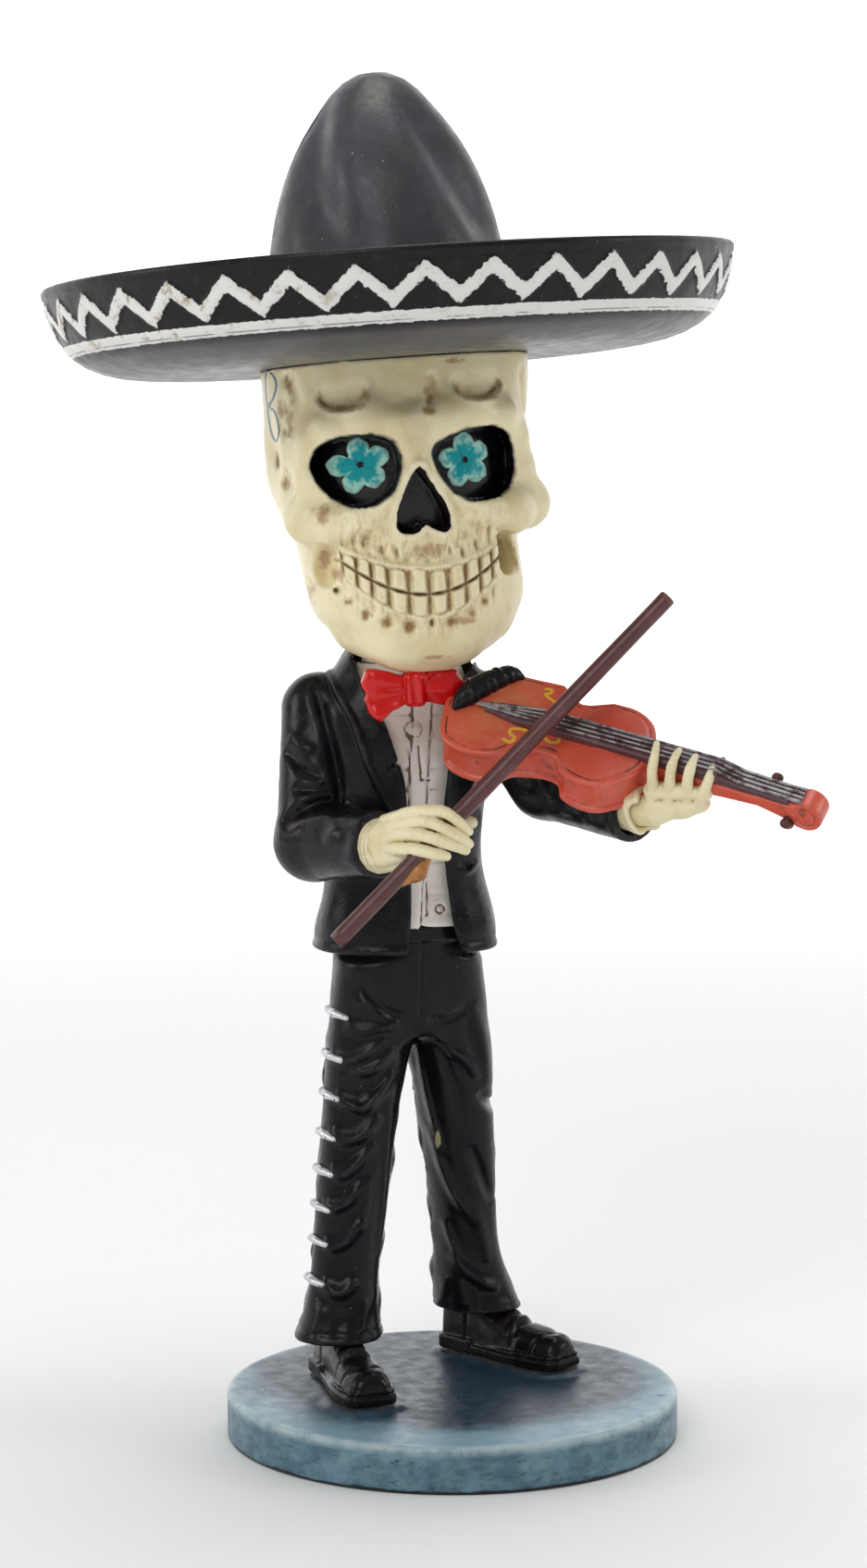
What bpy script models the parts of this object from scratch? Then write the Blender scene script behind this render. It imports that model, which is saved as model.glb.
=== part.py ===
"""A painted cast-resin figurine: a mariachi skeleton playing the violin, on a round base.

All the shapes are worked out in millimetres in a working frame: +X to the viewer's right, +Y away from
the viewer, +Z up, origin at the middle of the underside. Each finished piece is then put in metres, and
the empty that carries them all turns the figurine, so that its chest faces -Y.
"""

import math

import bmesh
import bpy
from mathutils import Matrix, Vector

MM = 0.001
TURN = math.radians(-20)
GAP = 0.3
VOXEL = 0.42
ROOM_VOXEL = 0.4
ROOM_TRIANGLES = 1600

BASE_RADIUS = 30.0
BASE_HEIGHT = 6.1
MOUND_HEIGHT = 0.5
SOLE_LEVEL = BASE_HEIGHT + MOUND_HEIGHT + GAP

RIGHT_HEEL = Vector((-16.9, 6.6, SOLE_LEVEL))
RIGHT_TOE = Vector((-10.3, -13.2, SOLE_LEVEL))
LEFT_HEEL = Vector((-0.3, 19.6, SOLE_LEVEL))
LEFT_TOE = Vector((15.6, 6.0, SOLE_LEVEL))

# Rows of a limb or a torso: height, centre x, centre y, half width, half depth.
RIGHT_LEG = (
    (13.0, -15.1, 0.2, 5.9, 6.5),
    (16.5, -14.8, 0.5, 5.0, 5.6),
    (23.0, -14.2, 0.9, 4.5, 5.1),
    (33.0, -13.3, 1.6, 4.7, 5.2),
    (44.0, -12.1, 2.8, 5.1, 5.8),
    (53.0, -11.1, 3.8, 5.5, 6.6),
    (63.0, -9.9, 4.6, 5.2, 6.8),
)
LEFT_LEG = (
    (13.0, 3.6, 14.6, 5.8, 6.4),
    (16.5, 2.8, 14.2, 5.1, 5.6),
    (23.0, 1.8, 13.5, 4.1, 5.1),
    (33.0, 1.1, 12.4, 4.4, 5.2),
    (44.0, 0.1, 10.8, 4.9, 5.8),
    (53.0, -0.9, 9.4, 5.2, 6.6),
    (63.0, -2.2, 8.4, 5.1, 6.8),
)
HIPS = (
    (53.0, -6.0, 6.6, 8.5, 6.1),
    (57.0, -6.1, 6.6, 9.7, 7.6),
    (62.0, -6.3, 6.5, 9.6, 7.9),
    (69.0, -6.4, 6.2, 9.5, 7.8),
)
HIP_TURN = math.radians(26)
JACKET = (
    (64.8, -6.2, 6.0, 12.3, 9.4),
    (68.0, -6.2, 6.0, 12.1, 9.2),
    (75.0, -6.5, 6.0, 10.6, 8.6),
    (84.0, -6.9, 5.8, 11.2, 8.8),
    (91.0, -6.9, 5.6, 12.2, 8.8),
    (96.0, -6.8, 5.6, 12.2, 8.0),
    (100.5, -6.3, 5.6, 9.6, 7.2),
    (105.6, -5.9, 5.6, 7.4, 6.9),
)
CHEST_TURN = math.radians(14)
SHIRT_DEPTH = 1.5
LAPEL_WIDTH = 4.2
LAPEL_RISE = 0.8
EDGE_BLEND = 0.25

# The jacket's front edges: height, left x, right x.
FRONT_EDGES = (
    (64.0, -5.9, 1.8),
    (68.0, -5.5, 0.2),
    (73.0, -5.4, -0.6),
    (79.0, -5.6, -1.2),
    (88.0, -6.4, -0.7),
    (96.0, -9.2, 0.4),
    (101.0, -11.6, 2.2),
    (106.0, -12.9, 4.2),
)

RIGHT_SHOULDER = Vector((-17.7, 5.2, 96.4))
RIGHT_ELBOW = Vector((-18.2, -1.5, 79.5))
RIGHT_WRIST = Vector((-9.3, -13.6, 80.4))
LEFT_SHOULDER = Vector((4.6, 3.6, 96.6))
LEFT_ELBOW = Vector((12.4, -3.0, 87.6))
LEFT_WRIST = Vector((23.3, -16.4, 85.3))
SHOULDER_RADIUS = 5.0
ELBOW_RADIUS = 5.0
WRIST_RADIUS = 4.4
CUFF_RADIUS = 3.7
CUFF_REACH = 1.9
TIE_CENTRE = Vector((-5.05, -8.7, 100.2))

# Each hand's palm, thumb and fingers, from the wrist side to the tip.
RIGHT_PALM = ((-9.3, -13.6, 80.6), (-8.2, -16.2, 81.6), (-5.6, -18.7, 82.6), (-3.0, -21.0, 83.2))
RIGHT_THUMB = ((-4.2, -20.6, 84.0), (0.0, -21.0, 84.5), (2.3, -20.8, 84.0))
RIGHT_FINGERS = (
    ((-6.3, -20.3, 85.0), (-3.8, -23.2, 85.6), (-1.2, -24.7, 85.6), (1.9, -24.6, 83.6)),
    ((-5.6, -21.2, 84.0), (-3.3, -23.9, 84.3), (-0.9, -25.1, 83.6), (1.9, -24.9, 82.0)),
    ((-5.8, -21.4, 82.6), (-3.7, -24.4, 82.8), (-1.4, -25.2, 82.2), (1.5, -24.9, 81.1)),
    ((-6.3, -21.8, 80.9), (-4.1, -24.5, 81.0), (-2.3, -25.3, 80.7), (-0.9, -25.2, 80.3)),
)
LEFT_PALM = ((23.3, -16.4, 85.3), (25.6, -18.4, 85.6), (29.0, -19.8, 86.2), (31.0, -20.6, 86.5))
LEFT_THUMB = ((25.6, -18.4, 85.6), (25.4, -15.0, 91.0))
LEFT_FINGERS = (
    ((25.0, -20.6, 88.2), (24.9, -22.4, 91.0), (25.2, -22.6, 92.9), (25.5, -21.4, 94.0)),
    ((27.1, -21.2, 88.0), (27.1, -23.0, 90.6), (27.6, -23.2, 92.4), (28.2, -22.1, 93.3)),
    ((29.3, -22.0, 88.1), (29.4, -23.8, 90.7), (29.9, -23.6, 92.1), (30.3, -22.6, 92.7)),
    ((31.1, -22.4, 87.8), (31.9, -24.0, 90.0), (32.4, -23.2, 91.2)),
)
PALM_RADIUS = 2.0
THUMB_RADIUS = 1.1
FINGER_RADIUS = 0.95

HEAD_CENTRE = Vector((-6.7, 3.0, 124.0))
HEAD_YAW = math.radians(9)
HEAD_ROLL = math.radians(-4)
HEAD_PITCH = math.radians(-1.5)
HAT_LEVEL = 18.2
HAT_CENTRE_X = 0.4
NECK_LEVEL = -15.8
NECK_RADIUS = 5.9

# Rows of the skull in its own frame: height, centre x, centre y, half width, half depth.
SKULL = (
    (-21.8, 0.3, -8.6, 3.0, 4.2),
    (-20.4, 0.3, -7.9, 6.1, 7.0),
    (-18.6, 0.4, -6.8, 9.0, 8.9),
    (-16.8, 0.6, -5.8, 11.2, 10.2),
    (-14.3, 0.5, -4.6, 13.2, 11.6),
    (-11.8, 0.45, -3.6, 14.0, 12.4),
    (-8.5, 0.3, -2.2, 14.2, 13.6),
    (-5.0, 0.2, -0.4, 14.3, 15.2),
    (-2.0, 0.2, 1.2, 15.3, 17.2),
    (3.0, 0.2, 2.2, 17.0, 18.6),
    (8.0, 0.3, 2.6, 17.3, 19.0),
    (13.0, 0.6, 3.2, 17.3, 18.3),
    (20.0, 0.9, 3.6, 17.5, 17.6),
)
SKULL_SQUARENESS = 0.84

# Bones of the face's right side, as seen in the picture; the other side mirrors them, a little narrower.
# Each is a row of points with the bone's radius there.
NARROW_SIDE = 0.9
BROW = ((1.6, -15.0, 9.9, 2.0), (7.5, -14.6, 10.6, 2.2), (11.6, -12.4, 9.8, 2.1), (13.4, -10.0, 7.6, 1.7))
CHEEK = (
    (14.0, 4.0, 2.6, 1.8),
    (15.0, -2.0, 0.6, 2.4),
    (14.9, -7.4, -1.5, 3.0),
    (12.4, -11.2, -2.3, 2.7),
    (8.4, -14.0, -1.9, 2.0),
)
ORBIT = ((14.9, -7.7, -0.8, 2.6), (14.3, -9.1, 3.4, 1.9), (13.4, -10.0, 7.6, 1.7))
CHIN = (
    (-8.4, -6.8, -16.6, 2.4),
    (-3.4, -11.4, -18.2, 3.0),
    (4.0, -11.4, -18.2, 3.0),
    (9.4, -6.8, -16.6, 2.4),
)

# Outlines of the eye sockets and the nose, x and height on the face.
RIGHT_SOCKET = (
    (-13.0, 5.0), (-12.2, 7.1), (-10.4, 8.2), (-7.2, 8.5), (-4.0, 8.0), (-2.6, 6.6),
    (-2.3, 4.2), (-3.3, 1.6), (-5.3, 0.0), (-7.8, -0.5), (-10.2, 0.7), (-12.0, 2.7),
)
LEFT_SOCKET = (
    (2.1, 5.7), (3.6, 7.2), (6.2, 8.1), (8.7, 8.5), (11.1, 8.2), (12.5, 6.7),
    (13.0, 3.7), (12.5, 1.3), (10.5, -0.2), (7.7, -0.8), (5.1, 0.2), (3.1, 2.7),
)
NOSE = ((-3.4, -3.8), (3.4, -3.8), (0.8, 3.2), (-0.8, 3.2))
FACE_DEPTH = -24.0
SOCKET_FLOOR = -11.4
NOSE_FLOOR = -14.2
BITE_HEIGHT = -12.0
BITE_CURVE = 0.045
TOOTH_X = (1.2, 3.6, 5.9, 8.0)

BRIM_RADIUS = 45.2
RIM_HEIGHT = 11.9
CROWN_HEIGHT = 25.7
ZIGZAGS = 34
ZIGZAG_RELIEF = 0.35
# Pinches in the crown: direction in degrees, reach in degrees, share of the radius.
CROWN_PINCHES = ((-146, 30, 0.13), (-60, 30, 0.13), (63, 34, 0.10), (120, 34, 0.10))

VIOLIN_CENTRE = Vector((12.2, -12.6, 93.6))
VIOLIN_AXIS = Vector((0.905, -0.36, -0.215)).normalized()
VIOLIN_LEAN = Vector((0.0, -0.66, 0.75))
# The violin's outline, from the tail round the side towards the viewer and back.
VIOLIN_OUTLINE = (
    (-14.3, 0.8), (-14.1, -1.4), (-13.5, -3.2), (-12.9, -4.9), (-11.9, -6.4), (-10.3, -7.3), (-8.3, -7.7),
    (-6.4, -7.5), (-4.9, -7.1), (-3.9, -6.4), (-2.6, -5.0), (-0.9, -4.4), (1.0, -4.2), (2.8, -4.6),
    (3.7, -5.5), (4.9, -6.8), (6.9, -7.5), (9.0, -7.5), (10.6, -6.9), (12.2, -5.6), (13.3, -3.9),
    (14.2, -1.1), (14.2, 1.0), (13.6, 3.6), (12.4, 5.3), (10.4, 6.6), (8.2, 7.2), (6.3, 7.0), (4.6, 6.2),
    (2.6, 5.7), (0.6, 6.3), (-0.9, 7.5), (-3.0, 7.8), (-5.6, 7.8), (-8.5, 7.5), (-10.6, 7.0), (-12.2, 6.1),
    (-13.5, 4.4),
)
BODY_DEPTH = 5.4
NECK_REACH = 37.0

BOW_LOW = Vector((-14.7, -25.0, 69.6))
BOW_HIGH = Vector((27.1, -17.2, 112.4))
BOW_RADIUS = 1.1


def clear_scene():
    for old in list(bpy.data.objects):
        bpy.data.objects.remove(old)


def new_collection(name):
    made = bpy.data.collections.new(name)
    bpy.context.scene.collection.children.link(made)
    return made


def painted(name, colour, roughness):
    """A painted finish."""
    made = bpy.data.materials.new(name)
    made.use_nodes = True
    shader = made.node_tree.nodes["Principled BSDF"]
    shader.inputs["Base Color"].default_value = (*colour, 1.0)
    shader.inputs["Roughness"].default_value = roughness
    shader.inputs["Metallic"].default_value = 0.0
    return made


def smoothstep(low, high, value):
    share = min(1.0, max(0.0, (value - low) / (high - low)))
    return share * share * (3 - 2 * share)


def bump(centre, reach, value):
    """1 at the centre, falling smoothly to 0 at the reach on either side."""
    return 1.0 - smoothstep(0.0, reach, abs(value - centre))


def between(rows, key):
    """The row of a table at any key between its first and its last."""
    if key <= rows[0][0]:
        return rows[0]
    for low, high in zip(rows, rows[1:]):
        if key <= high[0]:
            share = (key - low[0]) / (high[0] - low[0])
            return tuple(a + (b - a) * share for a, b in zip(low, high))
    return rows[-1]


def head_frame():
    turn = Matrix.Rotation(HEAD_ROLL, 4, "Y") @ Matrix.Rotation(HEAD_YAW, 4, "Z")
    return Matrix.Translation(HEAD_CENTRE) @ turn @ Matrix.Rotation(HEAD_PITCH, 4, "X")


def violin_frame():
    """X along the violin towards the scroll, Z out of its top plate."""
    face = (VIOLIN_LEAN - VIOLIN_LEAN.dot(VIOLIN_AXIS) * VIOLIN_AXIS).normalized()
    side = face.cross(VIOLIN_AXIS)
    turn = Matrix((VIOLIN_AXIS, side, face)).transposed().to_4x4()
    return Matrix.Translation(VIOLIN_CENTRE) @ turn


# Making and joining bodies


def object_from(name, bm, collection):
    mesh = bpy.data.meshes.new(name)
    bmesh.ops.recalc_face_normals(bm, faces=bm.faces)
    bm.to_mesh(mesh)
    bm.free()
    made = bpy.data.objects.new(name, mesh)
    collection.objects.link(made)
    return made


def apply_modifiers(obj):
    graph = bpy.context.evaluated_depsgraph_get()
    mesh = bpy.data.meshes.new_from_object(obj.evaluated_get(graph))
    obj.modifiers.clear()
    obj.data = mesh
    return obj


def add_ball(bm, centre, radii, turn=None, segments=28):
    """An ellipsoid, turned about its own centre."""
    turn = Matrix.Identity(4) if turn is None else turn
    place = Matrix.Translation(centre) @ turn @ Matrix.Diagonal((*radii, 1))
    bmesh.ops.create_uvsphere(bm, u_segments=segments, v_segments=segments // 2, radius=1, matrix=place)


def add_rod(bm, start, end, start_radius, end_radius, segments=20, round_ends=True):
    """A tapered rod, with round ends unless told otherwise."""
    start, end = Vector(start), Vector(end)
    along = end - start
    turn = along.to_track_quat("Z", "Y").to_matrix().to_4x4()
    bmesh.ops.create_cone(
        bm, cap_ends=True, segments=segments, radius1=start_radius, radius2=end_radius,
        depth=along.length, matrix=Matrix.Translation((start + end) / 2) @ turn,
    )
    if round_ends:
        add_ball(bm, start, (start_radius,) * 3, segments=segments)
        add_ball(bm, end, (end_radius,) * 3, segments=segments)


def add_chain(bm, points, start_radius, end_radius, segments=12):
    """Rods from point to point, which taper evenly from the first to the last."""
    steps = len(points) - 1
    for i in range(steps):
        low = start_radius + (end_radius - start_radius) * i / steps
        high = start_radius + (end_radius - start_radius) * (i + 1) / steps
        add_rod(bm, points[i], points[i + 1], low, high, segments)


def add_bone(bm, rows, side=1.0, shift=0.0):
    """Rods through rows of x, y, height and radius, mirrored or narrowed by side."""
    for low, high in zip(rows, rows[1:]):
        start = (shift + side * low[0], low[1], low[2])
        end = (shift + side * high[0], high[1], high[2])
        add_rod(bm, start, end, low[3], high[3])


def add_box(bm, centre, size, turn=None):
    turn = Matrix.Identity(4) if turn is None else turn
    bmesh.ops.create_cube(bm, size=1, matrix=Matrix.Translation(centre) @ turn @ Matrix.Diagonal((*size, 1)))


def add_loft(bm, rings):
    """A closed body through rings that all have the same number of points."""
    loops = [[bm.verts.new(point) for point in ring] for ring in rings]
    count = len(loops[0])
    for low, high in zip(loops, loops[1:]):
        for i in range(count):
            j = (i + 1) % count
            bm.faces.new((low[i], low[j], high[j], high[i]))
    bm.faces.new(list(reversed(loops[0])))
    bm.faces.new(loops[-1])


def oval_rings(rows, turn, count, relief=None, points=72):
    """Horizontal ovals up a limb or a torso; relief(point, angle) swells or dents them."""
    low, high = rows[0][0], rows[-1][0]
    rings = []
    for k in range(count):
        height = low + (high - low) * k / (count - 1)
        _, centre_x, centre_y, half_width, half_depth = between(rows, height)
        ring = []
        for i in range(points):
            angle = math.tau * i / points
            swell = 1.0
            for _ in range(2):
                x = half_width * swell * math.cos(angle)
                y = half_depth * swell * math.sin(angle)
                point = Vector((
                    centre_x + x * math.cos(turn) - y * math.sin(turn),
                    centre_y + x * math.sin(turn) + y * math.cos(turn),
                    height,
                ))
                if relief is None or swell != 1.0:
                    break
                swell = 1.0 + relief(point, angle) / half_depth
            ring.append(point)
        rings.append(ring)
    return rings


def fuse(obj, voxel, smoothing):
    """Joins overlapping closed shells into one body of small even faces."""
    remesh = obj.modifiers.new("join", "REMESH")
    remesh.mode = "VOXEL"
    remesh.voxel_size = voxel
    soften = obj.modifiers.new("soften", "SMOOTH")
    soften.factor = 0.5
    soften.iterations = smoothing
    return apply_modifiers(obj)


def thin_out(obj, triangles, group=""):
    """Brings a body down to about that many triangles, first of all within the group."""
    dense = sum(len(face.vertices) - 2 for face in obj.data.polygons)
    decimate = obj.modifiers.new("thin_out", "DECIMATE")
    decimate.ratio = min(1.0, triangles / dense)
    decimate.use_collapse_triangulate = True
    decimate.vertex_group = group
    return apply_modifiers(obj)


def carve(obj, relief):
    """Moves each vertex along its normal by relief(point)."""
    normals = [vertex.normal.copy() for vertex in obj.data.vertices]
    for vertex, normal in zip(obj.data.vertices, normals):
        vertex.co += normal * relief(vertex.co)
    return obj


def boolean(obj, other, operation="DIFFERENCE"):
    modifier = obj.modifiers.new(operation.lower(), "BOOLEAN")
    modifier.operation = operation
    modifier.solver = "EXACT"
    modifier.object = other
    return apply_modifiers(obj)


def keep_largest(obj):
    """Clears away the crumbs that a cut can leave."""
    bm = bmesh.new()
    bm.from_mesh(obj.data)
    left = set(bm.verts)
    bodies = []
    while left:
        body = [left.pop()]
        for vertex in body:
            for edge in vertex.link_edges:
                other = edge.other_vert(vertex)
                if other in left:
                    left.remove(other)
                    body.append(other)
        bodies.append(body)
    bodies.sort(key=len)
    for body in bodies[:-1]:
        bmesh.ops.delete(bm, geom=body, context="VERTS")
    bm.to_mesh(obj.data)
    bm.free()
    return obj


def helper(obj):
    """Marks a cutter, which isn't part of the figurine."""
    obj.hide_render = True
    obj.display_type = "WIRE"
    return obj


def grown_copy(obj, margin, collection):
    """A cutter a little larger than obj, which leaves a gap around it."""
    copy = bpy.data.objects.new(obj.name + "_room", obj.data.copy())
    collection.objects.link(copy)
    swell = copy.modifiers.new("swell", "DISPLACE")
    swell.strength = margin
    swell.mid_level = 0.0
    fuse(apply_modifiers(copy), ROOM_VOXEL, 0)
    thin_out(copy, ROOM_TRIANGLES)
    return helper(copy)


def finish(obj, look, figurine, frame):
    """Puts a piece in metres, in its own frame, and hangs it on the figurine's empty."""
    obj.data.transform(Matrix.Scale(MM, 4) @ frame.inverted())
    obj.data.materials.clear()
    obj.data.materials.append(look)
    obj.data.shade_smooth()
    obj.data.set_sharp_from_angle(angle=math.radians(45))
    place = frame.copy()
    place.translation *= MM
    obj.parent = figurine
    obj.matrix_basis = place
    return obj


# Base


def sole_ring(heel, toe, margin, height, points=20):
    """The outline of a shoe's sole, grown by a margin, with a squared toe."""
    along = (toe - heel).normalized()
    across = Vector((-along.y, along.x, 0))
    middle = (heel + toe) / 2
    half_length = (toe - heel).length / 2
    ring = []
    for i in range(points):
        angle = math.tau * i / points
        c, s = math.cos(angle), math.sin(angle)
        forward = math.copysign(abs(c) ** 0.7, c) * (half_length + margin)
        half_width = 2.8 + 0.9 * smoothstep(-0.2, 0.5, c)
        side = math.copysign(abs(s) ** 0.75, s) * (half_width + margin)
        point = middle + along * forward + across * side
        ring.append(Vector((point.x, point.y, height)))
    return ring


def make_base(collection, cutters):
    """A turned disc, with a low mound under each shoe."""
    edge, foot_edge = 0.7, 0.4
    profile = (
        (0.0, BASE_HEIGHT), (BASE_RADIUS - edge, BASE_HEIGHT), (BASE_RADIUS, BASE_HEIGHT - edge),
        (BASE_RADIUS, foot_edge), (BASE_RADIUS - foot_edge, 0.0), (0.0, 0.0),
    )
    base = turned("base", profile, 48, collection)
    for name, heel, toe in (("right_mound", RIGHT_HEEL, RIGHT_TOE), ("left_mound", LEFT_HEEL, LEFT_TOE)):
        bm = bmesh.new()
        top = BASE_HEIGHT + MOUND_HEIGHT
        add_loft(bm, (
            sole_ring(heel, toe, 2.2, BASE_HEIGHT - 1.0),
            sole_ring(heel, toe, 2.2, BASE_HEIGHT + 0.1),
            sole_ring(heel, toe, 1.1, top),
        ))
        boolean(base, helper(object_from(name, bm, cutters)), "UNION")
    return base


def turned(name, profile, steps, collection):
    """A body turned about Z from a profile that runs down its outer side."""
    mesh = bpy.data.meshes.new(name)
    points = [(radius, 0.0, height) for radius, height in profile]
    mesh.from_pydata(points, [(i, i + 1) for i in range(len(points) - 1)], [])
    made = bpy.data.objects.new(name, mesh)
    collection.objects.link(made)
    screw = made.modifiers.new("turn", "SCREW")
    screw.steps = steps
    screw.render_steps = steps
    screw.use_merge_vertices = True
    screw.merge_threshold = 0.0001
    return apply_modifiers(made)


# Figure


def jacket_relief(point, angle):
    """The open front shows the shirt, and the lapels stand along its edges."""
    if point.y > 6.0:
        return 0.0
    _, left, right = between(FRONT_EDGES, point.z)
    past_left = smoothstep(left - EDGE_BLEND, left + EDGE_BLEND, point.x)
    past_right = smoothstep(right - EDGE_BLEND, right + EDGE_BLEND, point.x)
    inside = past_left * (1.0 - past_right)
    outside = max(left - point.x, point.x - right)
    lapel = smoothstep(78.0, 84.0, point.z) * (1.0 - smoothstep(LAPEL_WIDTH, LAPEL_WIDTH + 0.6, outside))
    lapel *= smoothstep(-0.3, 0.1, outside)
    return LAPEL_RISE * lapel - SHIRT_DEPTH * inside


def add_shoe(bm, heel, toe):
    """A dress shoe: a sole, a heel block and an upper that rises to the ankle."""
    along = (toe - heel).normalized()
    across = Vector((-along.y, along.x, 0))
    length = (toe - heel).length
    low = SOLE_LEVEL
    add_loft(bm, (sole_ring(heel, toe, 0.2, low), sole_ring(heel, toe, 0.2, low + 1.1)))
    upper = (
        (0.03, 2.3, 7.4), (0.12, 2.9, 8.0), (0.35, 3.1, 7.6), (0.52, 3.2, 5.8),
        (0.70, 3.4, 4.3), (0.88, 3.3, 3.6), (0.97, 2.7, 2.9),
    )
    rings = []
    for share, half_width, height in upper:
        centre = heel + along * length * share + Vector((0, 0, height / 2))
        ring = []
        for i in range(20):
            angle = math.tau * i / 20
            c, s = math.cos(angle), math.sin(angle)
            side = math.copysign(abs(c) ** 0.8, c) * half_width
            rise = math.copysign(abs(s) ** 0.8, s) * height / 2
            ring.append(centre + across * side + Vector((0, 0, rise)))
        rings.append(ring)
    add_loft(bm, rings)


def add_bow_tie(bm):
    """A knot between two flared wings."""
    turn = Matrix.Rotation(CHEST_TURN, 4, "Z")
    add_box(bm, TIE_CENTRE, (3.0, 2.6, 4.4), turn)
    wing = ((0.5, 1.5, 0.9), (2.6, 2.3, 1.3), (5.2, 3.1, 1.2), (6.6, 3.0, 0.8))
    for side in (-1, 1):
        rings = []
        for reach, half_height, half_depth in wing:
            ring = []
            for i in range(16):
                angle = math.tau * i / 16
                c, s = math.cos(angle), math.sin(angle)
                rise = math.copysign(abs(s) ** 0.6, s) * half_height
                ring.append(TIE_CENTRE + turn @ Vector((side * reach, c * half_depth, rise)))
            rings.append(ring)
        add_loft(bm, rings)


def add_hand(bm, palm, thumb, fingers):
    add_chain(bm, palm, PALM_RADIUS * 1.2, PALM_RADIUS * 0.7, 16)
    add_chain(bm, thumb, THUMB_RADIUS, THUMB_RADIUS * 0.8)
    for points in fingers:
        root = min(palm, key=lambda point: (Vector(point) - Vector(points[0])).length)
        add_chain(bm, (root, *points), FINGER_RADIUS, FINGER_RADIUS * 0.75)


def cloth_folds(point):
    """The main folds of the trousers and sleeves, which run down and inwards."""
    x, y, z = point
    if 14.5 < z < 62.0:
        side = 1.0 if x > -5.6 else -1.0
        centre = between(LEFT_LEG if side > 0 else RIGHT_LEG, z)
        angle = side * math.atan2(y - centre[2], x - centre[1])
        strength = 0.3 * smoothstep(14.5, 19.0, z) * (1.0 - smoothstep(55.0, 62.0, z))
        crease = math.sin(0.62 * z + 1.3 * angle + 0.8 * math.sin(0.21 * z))
        fine = 0.5 * math.sin(1.05 * z - 2.0 * angle)
        return strength * (crease * abs(crease) * bump(0.5, 2.4, angle) + fine)
    if 72.0 < z < 99.0 and (x < -15.5 or x > 7.5):
        return 0.2 * math.sin(z * 0.9 + x * 0.7) + 0.12 * math.sin(z * 1.6 - y * 0.8)
    return 0.0


def make_figure(collection, violin_room, bow_room):
    """The cast figure from the shoes to the neck, with its clothes and both hands."""
    bm = bmesh.new()
    add_shoe(bm, RIGHT_HEEL, RIGHT_TOE)
    add_shoe(bm, LEFT_HEEL, LEFT_TOE)
    add_loft(bm, oval_rings(RIGHT_LEG, math.radians(-8), 30))
    add_loft(bm, oval_rings(LEFT_LEG, math.radians(35), 30))
    add_loft(bm, oval_rings(HIPS, HIP_TURN, 12))
    add_loft(bm, oval_rings(JACKET, CHEST_TURN, 60, jacket_relief, points=120))
    add_rod(bm, RIGHT_SHOULDER, RIGHT_ELBOW, SHOULDER_RADIUS, ELBOW_RADIUS)
    add_rod(bm, RIGHT_ELBOW, RIGHT_WRIST, ELBOW_RADIUS, WRIST_RADIUS, round_ends=False)
    add_rod(bm, LEFT_SHOULDER, LEFT_ELBOW, SHOULDER_RADIUS, ELBOW_RADIUS)
    add_rod(bm, LEFT_ELBOW, LEFT_WRIST, ELBOW_RADIUS, WRIST_RADIUS, round_ends=False)
    for elbow, wrist in ((RIGHT_ELBOW, RIGHT_WRIST), (LEFT_ELBOW, LEFT_WRIST)):
        along = (wrist - elbow).normalized()
        end = wrist + along * CUFF_REACH
        add_rod(bm, wrist - along, end, CUFF_RADIUS, CUFF_RADIUS * 0.9, round_ends=False)
    add_hand(bm, RIGHT_PALM, RIGHT_THUMB, RIGHT_FINGERS)
    add_hand(bm, LEFT_PALM, LEFT_THUMB, LEFT_FINGERS)
    frame = head_frame()
    add_rod(
        bm, frame @ Vector((0.3, 2.4, NECK_LEVEL - 9.0)), frame @ Vector((0.3, 2.4, NECK_LEVEL - GAP)),
        NECK_RADIUS, NECK_RADIUS, round_ends=False,
    )
    add_bow_tie(bm)
    figure = object_from("figure", bm, collection)
    fuse(figure, VOXEL, 3)
    carve(figure, cloth_folds)
    thin_out(figure, 3450)
    boolean(figure, violin_room)
    boolean(figure, bow_room)
    return keep_largest(figure)


# Skull


def skull_rings(points=64):
    """Squarish horizontal sections of the skull, in its own frame."""
    rings = []
    low, high = SKULL[0][0], SKULL[-1][0]
    for k in range(42):
        height = low + (high - low) * k / 41
        _, centre_x, centre_y, half_width, half_depth = between(SKULL, height)
        ring = []
        for i in range(points):
            angle = math.tau * i / points
            c, s = math.cos(angle), math.sin(angle)
            x = math.copysign(abs(c) ** SKULL_SQUARENESS, c) * half_width
            y = math.copysign(abs(s) ** SKULL_SQUARENESS, s) * half_depth
            ring.append(Vector((centre_x + x, centre_y + y, height)))
        rings.append(ring)
    return rings


def face_ring(outline, y, size):
    """An outline on the face at depth y, drawn in towards its own middle by size."""
    points = [Vector((x, y, z)) for x, z in outline]
    middle = sum(points, Vector()) / len(points)
    return [middle + (point - middle) * size for point in points]


def bite_point(x, rise):
    """A point on the front of the teeth, at x from the middle and so far above the bite line."""
    return Vector((x, -17.0 + 0.03 * x * x, BITE_HEIGHT + BITE_CURVE * x * x + rise))


def add_teeth(bm):
    for x in TOOTH_X:
        for side in (-1, 1):
            turn = Matrix.Rotation(math.atan(0.09 * side * x), 4, "Z")
            add_ball(bm, bite_point(side * x, 1.8), (1.15, 1.1, 1.9), turn, segments=12)
            add_ball(bm, bite_point(side * x, -1.7), (1.1, 1.0, 1.7), turn, segments=12)


def add_face_bones(bm):
    """Brow ridges, cheekbones, jaw angles and chin, on both sides."""
    for side, shift in ((1.0, 0.0), (-NARROW_SIDE, 0.3)):
        for bone in (BROW, CHEEK, ORBIT):
            add_bone(bm, bone, side, shift)
    add_bone(bm, CHIN)
    add_rod(bm, (-0.1, -15.6, 9.6), (-0.2, -17.0, 4.6), 2.2, 1.3)
    add_ball(bm, (0.3, -7.9, -9.0), (11.9, 8.8, 8.8))


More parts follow.
